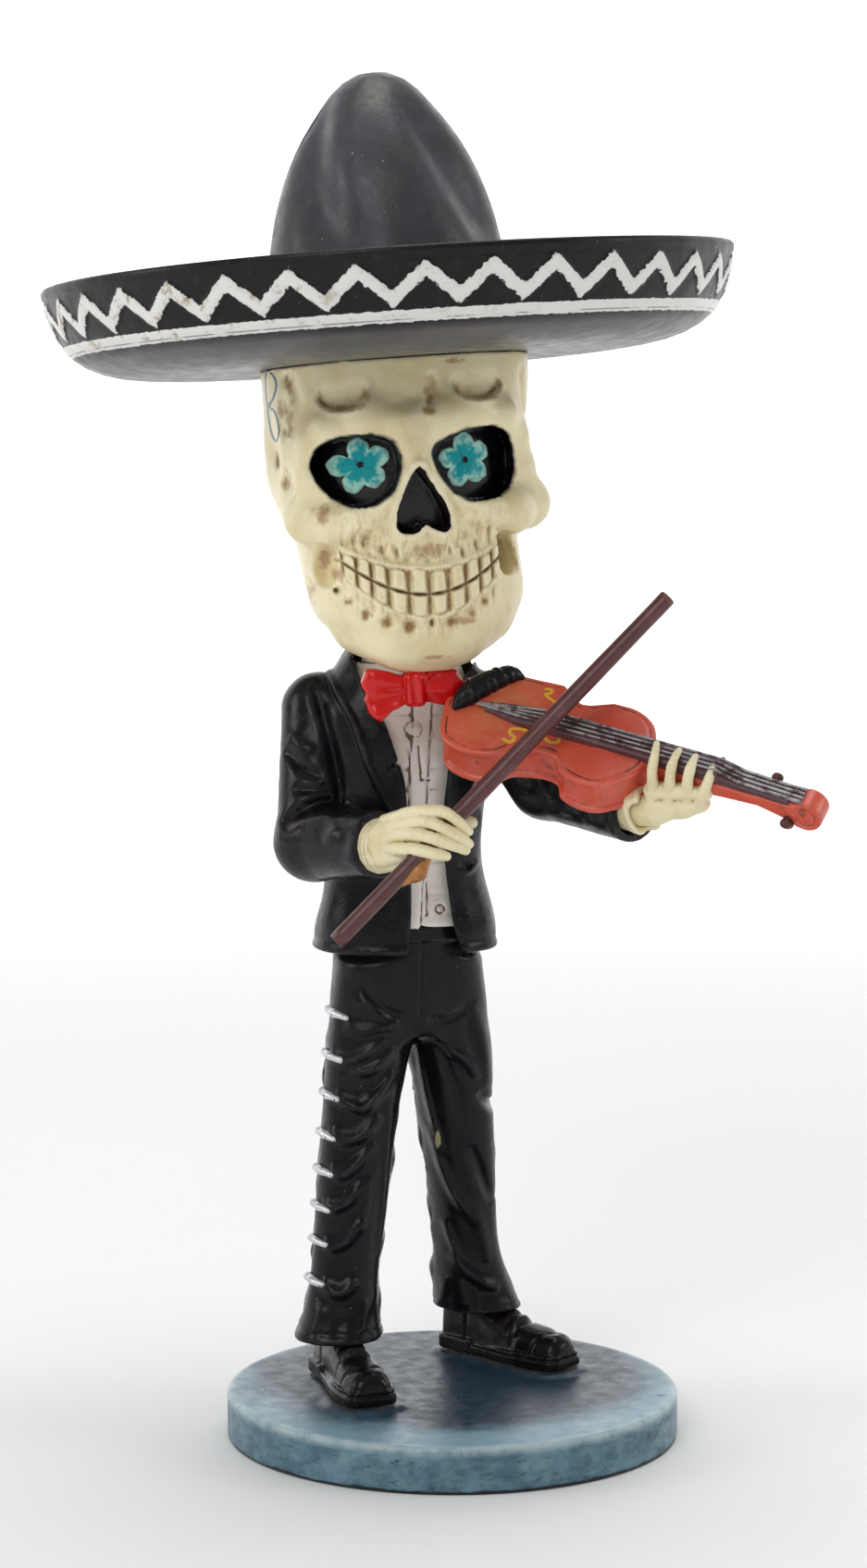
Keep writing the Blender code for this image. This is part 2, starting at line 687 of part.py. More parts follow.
def make_skull(collection, cutters, figure_room):
    """A long skull with deep sockets, cut flat under the hat and hollowed below for the neck."""
    frame = head_frame()
    bm = bmesh.new()
    add_loft(bm, skull_rings())
    add_face_bones(bm)
    add_teeth(bm)
    bm.transform(frame)
    skull = object_from("skull", bm, collection)
    fuse(skull, VOXEL, 2)

    hollows = (
        ("right_socket", RIGHT_SOCKET, SOCKET_FLOOR),
        ("left_socket", LEFT_SOCKET, SOCKET_FLOOR),
        ("nose_hollow", NOSE, NOSE_FLOOR),
    )
    for name, outline, floor in hollows:
        bm = bmesh.new()
        add_loft(bm, (face_ring(outline, FACE_DEPTH, 1.0), face_ring(outline, floor, 0.8)))
        bm.transform(frame)
        boolean(skull, helper(object_from(name, bm, cutters)))
    for name, side in (("right", -1), ("left", 1)):
        bm = bmesh.new()
        add_ball(bm, (side * 12.4, -11.4, -8.0), (2.4, 3.6, 3.0), segments=16)
        bm.transform(frame)
        boolean(skull, helper(object_from(name + "_cheek_hollow", bm, cutters)))
    bm = bmesh.new()
    add_box(bm, (0, 0, HAT_LEVEL - GAP + 20.0), (90, 90, 40))
    bm.transform(frame)
    boolean(skull, helper(object_from("under_hat", bm, cutters)))

    bm = bmesh.new()
    add_rod(
        bm, frame @ Vector((0.3, 2.4, NECK_LEVEL - 14.0)), frame @ Vector((0.3, 2.4, NECK_LEVEL)),
        NECK_RADIUS + 0.6, NECK_RADIUS + 0.6, segments=32, round_ends=False,
    )
    socket = helper(object_from("neck_socket", bm, cutters))
    boolean(skull, socket)
    thin_out(skull, 2650)
    boolean(skull, figure_room)
    return keep_largest(skull)


# Sombrero


def make_sombrero(collection):
    """A turned hat with a saucer brim, a zigzag band in relief and a pinched crown."""
    r, z = BRIM_RADIUS, RIM_HEIGHT
    zigzag_top, zigzag_low = z - 2.6, z - 7.6
    top = z + CROWN_HEIGHT
    profile = (
        (0.0, top), (2.6, top - 0.35), (5.8, top - 2.7), (9.6, top - 7.7), (13.1, z + 11.0),
        (15.8, z - 0.2), (17.4, z - 7.6), (21.0, z - 9.4), (37.0, z - 7.4),
        (r - 0.9, z), (r, z - 0.3), (r - 0.5, zigzag_top), (r - 2.4, zigzag_low),
        (r - 6.2, z - 10.4), (r - 13.0, z - 12.3), (17.0, 0.0), (0.0, 0.0),
    )
    sombrero = turned("sombrero", profile, 2 * ZIGZAGS, collection)
    for vertex in sombrero.data.vertices:
        x, y, height = vertex.co
        radius = math.hypot(x, y)
        angle = math.atan2(y, x)
        if abs(height - zigzag_top) < 0.1 or abs(height - zigzag_low) < 0.1:
            column = round(angle / (math.pi / ZIGZAGS))
            upper = abs(height - zigzag_top) < 0.1
            raised = (column % 2 == 0) == upper
            swell = (ZIGZAG_RELIEF if raised else -ZIGZAG_RELIEF) / radius
            vertex.co.x += x * swell
            vertex.co.y += y * swell
        if height > z and radius > 1.0:
            pinch = bump(z + 14.0, 11.0, height)
            shrink = 0.0
            for direction, reach, share in CROWN_PINCHES:
                shrink += share * pinch * bump(math.radians(direction), math.radians(reach), angle)
            vertex.co.x -= x * shrink
            vertex.co.y -= y * shrink
    crown = sombrero.vertex_groups.new(name="smooth_areas")
    smooth = [vertex.index for vertex in sombrero.data.vertices if not -9.0 < vertex.co.z - z < 1.0]
    crown.add(smooth, 1.0, "REPLACE")
    thin_out(sombrero, 1450, "smooth_areas")
    sombrero.data.transform(head_frame() @ Matrix.Translation((HAT_CENTRE_X, 0, HAT_LEVEL)))
    return sombrero


# Violin and bow


def violin_outline(margin, height):
    """The body's outline at some height, grown by a margin."""
    ring = []
    count = len(VIOLIN_OUTLINE)
    for i, (x, y) in enumerate(VIOLIN_OUTLINE):
        before = Vector(VIOLIN_OUTLINE[i - 1])
        after = Vector(VIOLIN_OUTLINE[(i + 1) % count])
        along = (after - before).normalized()
        ring.append(Vector((x + along.y * margin, y - along.x * margin, height)))
    return ring


def make_violin(collection, cutters):
    """Body with ribs and overhanging plates, neck, fingerboard, chin rest, scroll and pegs in one casting."""
    half = BODY_DEPTH / 2
    bm = bmesh.new()
    add_loft(bm, [violin_outline(margin, height) for margin, height in (
        (-1.6, -half - 0.3), (0.0, -half), (0.0, -half + 0.7), (-0.5, -half + 0.8),
        (-0.5, half - 0.8), (0.0, half - 0.7), (0.0, half), (-2.2, half + 0.5),
    )])
    violin = object_from("violin", bm, collection)
    additions = []
    bm = bmesh.new()
    reach = NECK_REACH
    neck = []
    for x, half_width, low, high in (
        (12.6, 1.9, -2.2, 2.6), (17.0, 1.6, -0.3, 2.9), (29.0, 1.4, 0.2, 2.6), (reach - 1.8, 1.3, -0.4, 1.6),
    ):
        neck.append([Vector((x, half_width * c, (low + high) / 2 + (high - low) / 2 * s)) for c, s in (
            (1, 1), (-1, 1), (-1.0, 0.0), (-0.55, -0.9), (0.55, -0.9), (1.0, 0.0))])
    add_loft(bm, neck)
    additions.append(object_from("violin_neck", bm, cutters))
    bm = bmesh.new()
    board = []
    rows = ((-9.5, 1.5, half, 4.4), (0.0, 1.5, half + 0.6, 4.6), (30.5, 1.15, 2.0, 3.6))
    for x, half_width, low, high in rows:
        board.append([Vector((x, half_width * c, low + (high - low) * s)) for c, s in (
            (1, 0), (1, 0.8), (0.4, 1.0), (-0.4, 1.0), (-1, 0.8), (-1, 0))])
    add_loft(bm, board)
    additions.append(object_from("violin_fingerboard", bm, cutters))
    bm = bmesh.new()
    add_ball(bm, (-10.6, 3.4, half + 0.8), (3.6, 3.0, 1.3), segments=14)
    additions.append(object_from("violin_chin_rest", bm, cutters))
    bm = bmesh.new()
    add_rod(bm, (reach - 1.0, -2.0, 0.2), (reach - 1.0, 2.0, 0.2), 1.9, 1.9, segments=14, round_ends=False)
    additions.append(object_from("violin_scroll", bm, cutters))
    for i in range(4):
        side = 1 if i % 2 else -1
        x = reach - 6.2 + 1.25 * i
        bm = bmesh.new()
        add_rod(bm, (x, 0, 0.7), (x, side * 3.4, 0.7), 0.42, 0.62, segments=8, round_ends=False)
        additions.append(object_from(f"violin_peg_{i + 1}", bm, cutters))
    for addition in additions:
        boolean(violin, helper(addition), "UNION")
    violin.data.transform(violin_frame())
    return violin


def bow_frame():
    along = (BOW_HIGH - BOW_LOW).normalized()
    return Matrix.Translation(BOW_LOW) @ along.to_track_quat("Z", "Y").to_matrix().to_4x4()


def make_bow(collection, cutters):
    """A plain round stick, cut square at both ends, with a small frog at the hand."""
    bm = bmesh.new()
    add_rod(bm, BOW_LOW, BOW_HIGH, BOW_RADIUS, BOW_RADIUS, segments=16, round_ends=False)
    bow = object_from("bow", bm, collection)
    along = (BOW_HIGH - BOW_LOW).normalized()
    down = Vector((along.z, 0, -along.x)).normalized()
    out = along.cross(down)
    turn = Matrix((along, down, out)).transposed().to_4x4()
    bm = bmesh.new()
    add_box(bm, BOW_LOW + along * 13.0 + down * 1.3, (6.0, 2.4, 1.9), turn)
    boolean(bow, helper(object_from("bow_frog", bm, cutters)), "UNION")
    return bow


def main():
    clear_scene()
    collection = new_collection("skeleton_violinist")
    cutters = new_collection("cutters")
    figurine = bpy.data.objects.new("figurine", None)
    collection.objects.link(figurine)
    figurine.rotation_euler.z = TURN

    base = make_base(collection, cutters)
    violin = make_violin(collection, cutters)
    bow = make_bow(collection, cutters)
    violin_room = grown_copy(violin, GAP + 0.25, cutters)
    bow_room = grown_copy(bow, GAP + 0.25, cutters)
    figure = make_figure(collection, violin_room, bow_room)
    skull = make_skull(collection, cutters, grown_copy(figure, GAP + 0.15, cutters))
    sombrero = make_sombrero(collection)

    suit = painted("black_suit", (0.012, 0.012, 0.014), 0.35)
    finish(base, painted("base_blue", (0.08, 0.17, 0.26), 0.5), figurine, Matrix.Identity(4))
    finish(figure, suit, figurine, Matrix.Translation((-6, 6, 60)))
    finish(skull, painted("bone", (0.74, 0.66, 0.45), 0.45), figurine, head_frame())
    hat_place = head_frame() @ Matrix.Translation((HAT_CENTRE_X, 0, HAT_LEVEL))
    finish(sombrero, painted("hat_grey", (0.045, 0.045, 0.05), 0.4), figurine, hat_place)
    finish(violin, painted("violin_red", (0.58, 0.09, 0.05), 0.4), figurine, violin_frame())
    finish(bow, painted("bow_brown", (0.10, 0.025, 0.022), 0.4), figurine, bow_frame())


main()
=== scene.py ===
"""The looks of a painted cast-resin figurine: a mariachi skeleton playing the violin, on a round base.

Most pieces are sculpted as fields. A field is a function that takes points in millimetres, as the
columns of an array, and gives about how far each lies outside the piece. Fields are joined, cut and
creased as clay would be, and the surface where the field is 0 becomes the mesh. The working frame has
+X to the viewer's right, +Y away from the viewer and +Z up. The paint follows named values that each
mesh carries: how hollow or proud a spot is, and how far it lies from each painted boundary.
"""

import math

import bpy
import numpy as np
from mathutils import Matrix, Vector


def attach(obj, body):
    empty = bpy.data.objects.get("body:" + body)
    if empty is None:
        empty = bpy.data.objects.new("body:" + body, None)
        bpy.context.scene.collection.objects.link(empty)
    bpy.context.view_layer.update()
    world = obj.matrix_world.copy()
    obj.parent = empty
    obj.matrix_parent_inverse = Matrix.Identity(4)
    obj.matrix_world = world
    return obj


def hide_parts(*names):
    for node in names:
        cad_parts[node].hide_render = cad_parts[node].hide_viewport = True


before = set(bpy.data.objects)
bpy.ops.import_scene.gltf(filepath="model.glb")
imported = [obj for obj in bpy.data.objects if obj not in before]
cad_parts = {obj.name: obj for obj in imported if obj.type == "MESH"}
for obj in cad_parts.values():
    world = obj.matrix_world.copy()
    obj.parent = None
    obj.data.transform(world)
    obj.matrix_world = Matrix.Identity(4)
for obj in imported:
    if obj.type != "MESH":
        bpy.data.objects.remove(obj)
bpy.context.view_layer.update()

MM = 0.001
TURN = math.radians(-20)
TO_ROW = Matrix.Rotation(TURN, 4, "Z") @ Matrix.Scale(MM, 4)
COARSER = 1.0
BLOCK = 8
CHUNK = 200000

# The size of the grid that each piece is sculpted on.
GRAIN = {
    "skull_bone": 0.38, "teeth": 0.22,
    "trousers": 0.36, "silver_bars": 0.16, "shoe": 0.26, "jacket": 0.40, "shirt": 0.34,
    "cuffs": 0.21, "bow_tie": 0.15, "right_hand": 0.18, "left_hand": 0.18, "violin_body": 0.23,
    "fingerboard": 0.20, "strings": 0.12, "chin_rest": 0.16, "pegs": 0.14, "bow_frog": 0.2,
}

BASE_RADIUS = 30.0
BASE_HEIGHT = 6.1
SOLE_LEVEL = 6.9
RIGHT_SHOE = ((-16.9, 6.6), (-10.3, -13.2))
LEFT_SHOE = ((-0.3, 19.6), (15.6, 6.0))

# Rows of a limb or a torso: height, centre x, centre y, half width, half depth.
RIGHT_LEG = (
    (12.9, -15.2, 0.2, 6.0, 6.6), (16.5, -14.8, 0.5, 5.0, 5.6), (23.0, -14.2, 0.9, 4.5, 5.1),
    (33.0, -13.3, 1.6, 4.7, 5.2), (44.0, -12.1, 2.8, 5.1, 5.8), (53.0, -11.1, 3.8, 5.5, 6.6),
    (63.0, -9.9, 4.6, 5.1, 6.8),
)
RIGHT_LEG_TURN = math.radians(-8)
LEFT_LEG = (
    (13.6, 3.5, 14.6, 5.8, 6.4), (16.5, 2.8, 14.2, 5.1, 5.6), (23.0, 1.8, 13.5, 4.0, 5.1),
    (33.0, 1.1, 12.4, 4.3, 5.2), (44.0, 0.1, 10.8, 4.9, 5.8), (53.0, -0.9, 9.4, 5.1, 6.6),
    (63.0, -2.2, 8.4, 5.0, 6.8),
)
LEFT_LEG_TURN = math.radians(35)
HIPS = (
    (53.0, -6.0, 6.6, 8.4, 6.0), (57.0, -6.1, 6.6, 9.6, 7.5), (62.0, -6.3, 6.5, 9.5, 7.8),
    (69.0, -6.4, 6.2, 9.4, 7.7),
)
HIP_TURN = math.radians(26)
JACKET = (
    (64.8, -6.2, 6.0, 12.2, 9.3), (68.0, -6.2, 6.0, 12.0, 9.1), (75.0, -6.5, 6.0, 10.5, 8.5),
    (84.0, -6.9, 5.8, 11.1, 8.7), (91.0, -6.9, 5.6, 12.1, 8.7), (96.0, -6.8, 5.6, 12.1, 7.9),
    (100.5, -6.3, 5.6, 9.5, 7.1), (104.8, -5.9, 5.6, 7.2, 6.8),
)
CHEST_TURN = math.radians(14)

# The jacket's front edges: height, left x, right x.
FRONT_EDGES = (
    (64.0, -5.9, 1.8), (68.0, -5.5, 0.2), (73.0, -5.4, -0.6), (79.0, -5.6, -1.2), (84.5, -6.0, -1.1),
    (88.0, -6.4, -0.7), (92.0, -7.7, -0.4), (96.0, -9.2, 0.4), (101.0, -12.2, 2.2), (106.0, -13.9, 4.2),
)

RIGHT_SHOULDER = (-17.7, 5.2, 96.4)
RIGHT_ELBOW = (-18.2, -1.5, 79.5)
RIGHT_WRIST = (-9.3, -13.6, 80.4)
LEFT_SHOULDER = (4.6, 3.6, 96.6)
LEFT_ELBOW = (12.4, -3.0, 87.6)
LEFT_WRIST = (23.3, -16.4, 85.3)
SLEEVE_RADIUS = 4.95
CUFF_RADIUS = 3.75

# Fingers, from the back of the hand to the tip.
RIGHT_FINGERS = (
    (
        (-8.6, -16.2, 83.8), (-6.3, -20.3, 85.1), (-4.1, -22.8, 85.8), (-1.6, -24.4, 86.0),
        (0.3, -24.9, 85.0), (1.9, -24.3, 83.5),
    ),
    (
        (-8.4, -17.2, 82.9), (-5.6, -21.2, 84.1), (-3.3, -23.8, 84.6), (-0.9, -25.0, 83.8),
        (0.9, -25.0, 82.7), (1.9, -24.4, 81.9),
    ),
    (
        (-8.6, -17.0, 81.7), (-5.8, -21.4, 82.8), (-3.7, -24.3, 82.9), (-1.4, -25.1, 82.3),
        (0.4, -25.0, 81.6), (1.5, -24.4, 81.1),
    ),
    (
        (-8.8, -16.8, 80.4), (-6.3, -21.8, 80.9), (-4.1, -24.4, 81.1), (-2.3, -25.2, 80.7),
        (-0.9, -25.0, 80.4),
    ),
)
LEFT_FINGERS = (
    (
        (24.9, -19.0, 86.5), (25.0, -21.0, 88.8), (24.9, -22.4, 91.0), (25.2, -22.6, 92.9),
        (25.5, -21.2, 94.2),
    ),
    (
        (27.1, -19.6, 86.1), (27.1, -21.6, 88.6), (27.1, -23.0, 90.6), (27.6, -23.2, 92.5),
        (28.3, -22.0, 93.4),
    ),
    (
        (29.4, -20.2, 86.1), (29.3, -22.4, 88.7), (29.4, -23.8, 90.7), (29.9, -23.6, 92.1),
        (30.3, -22.6, 92.7),
    ),
    (
        (30.6, -20.8, 86.2), (31.2, -22.6, 88.0), (31.9, -24.0, 90.0), (32.3, -23.6, 91.1),
        (32.5, -22.8, 91.4),
    ),
)

HEAD_CENTRE = (-6.7, 3.0, 124.0)
HEAD_YAW = math.radians(9)
HEAD_ROLL = math.radians(-4)
HEAD_PITCH = math.radians(-1.5)
HAT_LEVEL = 18.2
HAT_CENTRE_X = 0.4

# Rows of the skull in its own frame: height, centre x, centre y, half width, half depth.
SKULL = (
    (-21.8, 0.3, -8.6, 3.0, 4.2), (-20.4, 0.3, -7.9, 6.1, 7.0), (-18.6, 0.4, -6.8, 9.0, 8.9),
    (-16.8, 0.6, -5.8, 11.2, 10.2), (-14.3, 0.5, -4.6, 13.2, 11.6), (-11.8, 0.45, -3.6, 14.0, 12.4),
    (-8.5, 0.3, -2.2, 14.2, 13.6), (-5.0, 0.2, -0.4, 14.3, 15.2), (-2.0, 0.2, 1.2, 15.3, 17.2),
    (3.0, 0.2, 2.2, 17.0, 18.6), (8.0, 0.3, 2.6, 17.3, 19.0), (13.0, 0.6, 3.2, 17.3, 18.3),
    (20.0, 0.9, 3.6, 17.5, 17.6),
)
SKULL_POWER = 2.4
SOCKET_DEPTH = 2.4

VIOLIN_CENTRE = Vector((12.2, -12.6, 93.6))
VIOLIN_AXIS = Vector((0.905, -0.36, -0.215)).normalized()
VIOLIN_LEAN = Vector((0.0, -0.66, 0.75))
BODY_DEPTH = 5.4
SCROLL_REACH = 36.2

BOW_LOW = Vector((-14.7, -25.0, 69.6))
BOW_HIGH = Vector((27.1, -17.2, 112.4))
BOW_RADIUS = 1.1


# Fields


def column(values):
    return np.asarray(values, np.float32).reshape(3, 1)


def grade(low, high, value):
    """0 below low, 1 above high and smooth between."""
    share = np.clip((value - low) / (high - low), 0.0, 1.0)
    return share * share * (3.0 - 2.0 * share)


def hump(value, reach):
    """1 where the value is 0, falling smoothly to about 0 beyond the reach."""
    return np.exp(-((1.6 * value / reach) ** 2))


def ball(p, centre, radii, turn=None):
    """An ellipsoid. turn is a 3 by 3 array with its axes as columns."""
    q = p - column(centre)
    if turn is not None:
        q = turn.T.astype(np.float32) @ q
    r = column(radii)
    near = np.sqrt(((q / r) ** 2).sum(0)) + 1e-6
    slope = np.sqrt(((q / (r * r)) ** 2).sum(0)) + 1e-6
    return near * (near - 1.0) / slope


def rod(p, start, end, start_radius, end_radius):
    """A tapered rod with round ends."""
    start = column(start)
    along = column(end) - start
    share = np.clip(((p - start) * along).sum(0) / float((along ** 2).sum()), 0.0, 1.0)
    off = p - start - along * share
    return np.sqrt((off * off).sum(0)) - (start_radius + (end_radius - start_radius) * share)


def box(p, centre, size, turn=None, rounding=0.2):
    q = p - column(centre)
    if turn is not None:
        q = turn.T.astype(np.float32) @ q
    q = np.abs(q) - (column(size) / 2 - rounding)
    outside = np.sqrt((np.maximum(q, 0.0) ** 2).sum(0))
    return outside + np.minimum(q.max(0), 0.0) - rounding


def join(a, b, blend=0.6):
    """Both bodies as one, with a fillet."""
    share = np.maximum(blend - np.abs(a - b), 0.0) / blend
    return np.minimum(a, b) - share * share * blend / 4.0


def cut(a, b, blend=0.3):
    """The first body where the second isn't."""
    return -join(-a, b, blend)


def within(a, b, blend=0.3):
    """What both bodies share."""
    return -join(-a, -b, blend)


def chain(p, points, radii, blend=0.8):
    """Rods from point to point, as bones or a roll of clay."""
    made = None
    for start, end, start_radius, end_radius in zip(points, points[1:], radii, radii[1:]):
        part = rod(p, start, end, start_radius, end_radius)
        made = part if made is None else join(made, part, blend)
    return made


def smooth_line(points, steps=5, closed=False):
    """A smooth curve through the points."""
    points = np.asarray(points, float)
    if closed:
        points = np.vstack((points[-1:], points, points[:2]))
    else:
        points = np.vstack((2 * points[:1] - points[1:2], points, 2 * points[-1:] - points[-2:-1]))
    share = np.linspace(0.0, 1.0, steps, endpoint=False)[:, None]
    line = []
    for a, b, c, d in zip(points, points[1:], points[2:], points[3:]):
        line.append(0.5 * (
            2 * b + (c - a) * share + (2 * a - 5 * b + 4 * c - d) * share ** 2
            + (3 * b - a - 3 * c + d) * share ** 3
        ))
    line = np.vstack(line)
    return line if closed else np.vstack((line, points[-2:-1]))


def rows_at(rows, key):
    """Each column of a table of rows at any keys, on smooth curves."""
    dense = smooth_line(rows, 8)
    return [np.interp(key, dense[:, 0], dense[:, i]).astype(np.float32) for i in range(1, dense.shape[1])]


def stack(p, rows, turn=0.0, power=2.2, rounding=0.6):
    """A body whose level sections are ovals, one for each row."""
    x, y, z = p
    centre_x, centre_y, half_width, half_depth = rows_at(rows, z)
    dx, dy = x - centre_x, y - centre_y
    c, s = math.cos(turn), math.sin(turn)
    across = np.abs(dx * c + dy * s) / half_width
    deep = np.abs(dy * c - dx * s) / half_depth
    size = (across ** power + deep ** power) ** (1.0 / power)
    radius = np.sqrt(dx * dx + dy * dy)
    side = radius - radius / np.maximum(size, 0.02)
    side = np.where(size < 0.02, -half_depth, side) * 0.93
    ends = np.maximum(z - rows[-1][0], rows[0][0] - z)
    return within(side, ends, rounding)


def trace(u, v, line):
    """Distance in a plane to a line, which side of it (+1 left), and the share of the line passed."""
    best = np.full(u.shape, 1e9, np.float32)
    side = np.ones(u.shape, np.float32)
    share = np.zeros(u.shape, np.float32)
    count = len(line) - 1
    for i in range(count):
        a, along = line[i], line[i + 1] - line[i]
        t = np.clip(((u - a[0]) * along[0] + (v - a[1]) * along[1]) / (along @ along + 1e-9), 0.0, 1.0)
        du, dv = u - a[0] - t * along[0], v - a[1] - t * along[1]
        distance = du * du + dv * dv
        nearer = distance < best
        best = np.where(nearer, distance, best)
        side = np.where(nearer, np.sign(along[0] * dv - along[1] * du), side)
        share = np.where(nearer, (i + t) / count, share)
    return np.sqrt(best), side, share


def ring_distance(u, v, ring):
    """Distance in a plane to a closed outline, negative inside it."""
    inside = np.zeros(u.shape, bool)
    best = np.full(u.shape, 1e9, np.float32)
    for a, b in zip(ring, np.roll(ring, -1, 0)):
        along = b - a
        t = np.clip(((u - a[0]) * along[0] + (v - a[1]) * along[1]) / (along @ along + 1e-9), 0.0, 1.0)
        best = np.minimum(best, (u - a[0] - t * along[0]) ** 2 + (v - a[1] - t * along[1]) ** 2)
        if a[1] != b[1]:
            crosses = (a[1] > v) != (b[1] > v)
            inside ^= crosses & (u < a[0] + (v - a[1]) / (b[1] - a[1]) * along[0])
    return np.where(inside, -1.0, 1.0) * np.sqrt(best)


def folds(u, v, creases):
    """Height of the folds. Each has a line in a plane, a width, a height and how steep its left side is."""
    made = np.zeros(u.shape, np.float32)
    for points, width, height, skew in creases:
        line = smooth_line(points, 4)
        low, high = line.min(0) - 2 * width, line.max(0) + 2 * width
        near = np.nonzero((u > low[0]) & (u < high[0]) & (v > low[1]) & (v < high[1]))[0]
        if near.size == 0:
            continue
        distance, side, share = trace(u[near], v[near], line)
        s = distance * side * 1.3 / width
        fade = np.sqrt(np.clip(4.0 * share * (1.0 - share), 0.0, 1.0))
        made[near] += height * fade * np.exp(-s * s) * (1.0 + skew * s)
    return made


def ripple(p, scale, seed):
    """Soft irregular waves, as a hand leaves them."""
    rng = np.random.default_rng(seed)
    made = np.zeros(p.shape[1], np.float32)
    for _ in range(5):
        way = rng.normal(size=3)
        way *= scale * rng.uniform(0.7, 1.5) / np.linalg.norm(way)
        made += np.sin(
            way[0] * p[0] + way[1] * p[1] + way[2] * p[2] + rng.uniform(0, math.tau)
        ).astype(np.float32)
    return made / 5.0


# Meshes


def in_chunks(field, p):
    parts = [field(p[:, i:i + CHUNK]) for i in range(0, p.shape[1], CHUNK)]
    return np.concatenate(parts) if parts else np.zeros(0, np.float32)


def sample(field, low, voxel, blocks):
    """The field on a grid, worked out in full only near its surface."""
    index = np.indices(blocks).reshape(3, -1)
    centres = (low[:, None] + (index + 0.5) * (BLOCK * voxel)).astype(np.float32)
    coarse = in_chunks(field, centres)
    grid = coarse.reshape(blocks)
    for axis in range(3):
        grid = np.repeat(grid, BLOCK, axis)
    near = np.nonzero(np.abs(coarse) < BLOCK * voxel * 1.15 + 0.5)[0]
    steps = np.indices((BLOCK,) * 3).reshape(3, -1)
    for first in range(0, near.size, 512):
        cells = (index[:, near[first:first + 512], None] * BLOCK + steps[:, None, :]).reshape(3, -1)
        points = (low[:, None] + cells * voxel).astype(np.float32)
        grid[cells[0], cells[1], cells[2]] = in_chunks(field, points)
    return grid


def skin(grid):
    """A vertex in each cell that the surface crosses, and a square for each grid edge that it crosses."""
    inside = grid < 0.0
    size = np.array(grid.shape) - 1
    corner = [(i, j, k) for i in (0, 1) for j in (0, 1) for k in (0, 1)]
    held = np.zeros(size, np.int8)
    for i, j, k in corner:
        held += inside[i:i + size[0], j:j + size[1], k:k + size[2]]
    cells = np.argwhere((held > 0) & (held < 8))
    values = [grid[cells[:, 0] + i, cells[:, 1] + j, cells[:, 2] + k] for i, j, k in corner]
    total = np.zeros((len(cells), 3))
    count = np.zeros(len(cells))
    for a in range(8):
        for b in range(a + 1, 8):
            step = np.array(corner[b]) - np.array(corner[a])
            if np.abs(step).sum() != 1:
                continue
            crossed = (values[a] < 0.0) != (values[b] < 0.0)
            share = np.where(crossed, values[a] / np.where(crossed, values[a] - values[b], 1.0), 0.0)
            total += crossed[:, None] * (np.array(corner[a]) + share[:, None] * step)
            count += crossed
    points = cells + total / count[:, None]
    number = np.full(size, -1, np.int32)
    number[cells[:, 0], cells[:, 1], cells[:, 2]] = np.arange(len(cells))
    quads = []
    for axis in range(3):
        first, second = (axis + 1) % 3, (axis + 2) % 3
        here = [slice(0, n) for n in size]
        there = [slice(0, n) for n in size]
        there[axis] = slice(1, size[axis] + 1)
        differs = inside[tuple(here)] != inside[tuple(there)]
        edges = np.argwhere(differs)
        edges = edges[(edges[:, first] > 0) & (edges[:, second] > 0)]
        around = []
        for da, db in ((-1, -1), (0, -1), (0, 0), (-1, 0)):
            cell = edges.copy()
            cell[:, first] += da
            cell[:, second] += db
            around.append(number[cell[:, 0], cell[:, 1], cell[:, 2]])
        quad = np.stack(around, 1)
        flip = ~inside[edges[:, 0], edges[:, 1], edges[:, 2]]
        quad[flip] = quad[flip, ::-1]
        quads.append(quad)
    return points, np.concatenate(quads)


def settle(points, field, voxel):
    """Moves the vertices onto the surface itself."""
    corners = np.array(((1, 1, 1), (1, -1, -1), (-1, 1, -1), (-1, -1, 1)), np.float32)
    p = points.T.astype(np.float32)
    step = voxel * 0.4
    for _ in range(2):
        slope = np.zeros_like(p)
        for corner in corners:
            slope += corner[:, None] * in_chunks(field, p + step * corner[:, None])
        slope /= 4.0 * step
        move = in_chunks(field, p) / np.maximum((slope ** 2).sum(0), 0.15)
        p = p - slope * np.clip(move, -0.6 * voxel, 0.6 * voxel)
    return p.T


def sculpt(field, low, high, voxel):
    """The points and squares of a field's surface, within a box that holds it."""
    voxel = voxel * COARSER
    low = np.asarray(low, float)
    blocks = np.ceil((np.asarray(high, float) - low) / (voxel * BLOCK)).astype(int)
    points, quads = skin(sample(field, low, voxel, tuple(blocks)))
    points = settle(points * voxel + low, field, voxel)
    return largest(points, quads)


def largest(points, quads):
    """Leaves crumbs away."""
    label = np.arange(len(points))
    while True:
        low = label[quads].min(1)
        fresh = label.copy()
        for i in range(4):
            np.minimum.at(fresh, quads[:, i], low)
        fresh = fresh[fresh]
        if (fresh == label).all():
            break
        label = fresh
    names, counts = np.unique(label, return_counts=True)
    keep = np.isin(label, names[counts > 0.05 * len(points)])
    number = np.cumsum(keep) - 1
    quads = quads[keep[quads].all(1)]
    return points[keep], number[quads].tolist()


def swellings(points, faces, normals, passes):
    """How far each vertex stands above (or below) the surface smoothed over so many passes."""
    squares = np.array([face if len(face) == 4 else [*face, face[-1]] for face in faces])
    starts = squares.ravel()
    ends = np.roll(squares, -1, 1).ravel()
    count = len(points)
    degree = np.maximum(np.bincount(starts, minlength=count) + np.bincount(ends, minlength=count), 1)
    smooth = points.astype(float)
    for _ in range(passes):
        for axis in range(3):
            value = smooth[:, axis]
            total = np.bincount(starts, value[ends], count) + np.bincount(ends, value[starts], count)
            smooth[:, axis] = 0.5 * value + 0.5 * total / degree
    return ((points - smooth) * normals).sum(1)


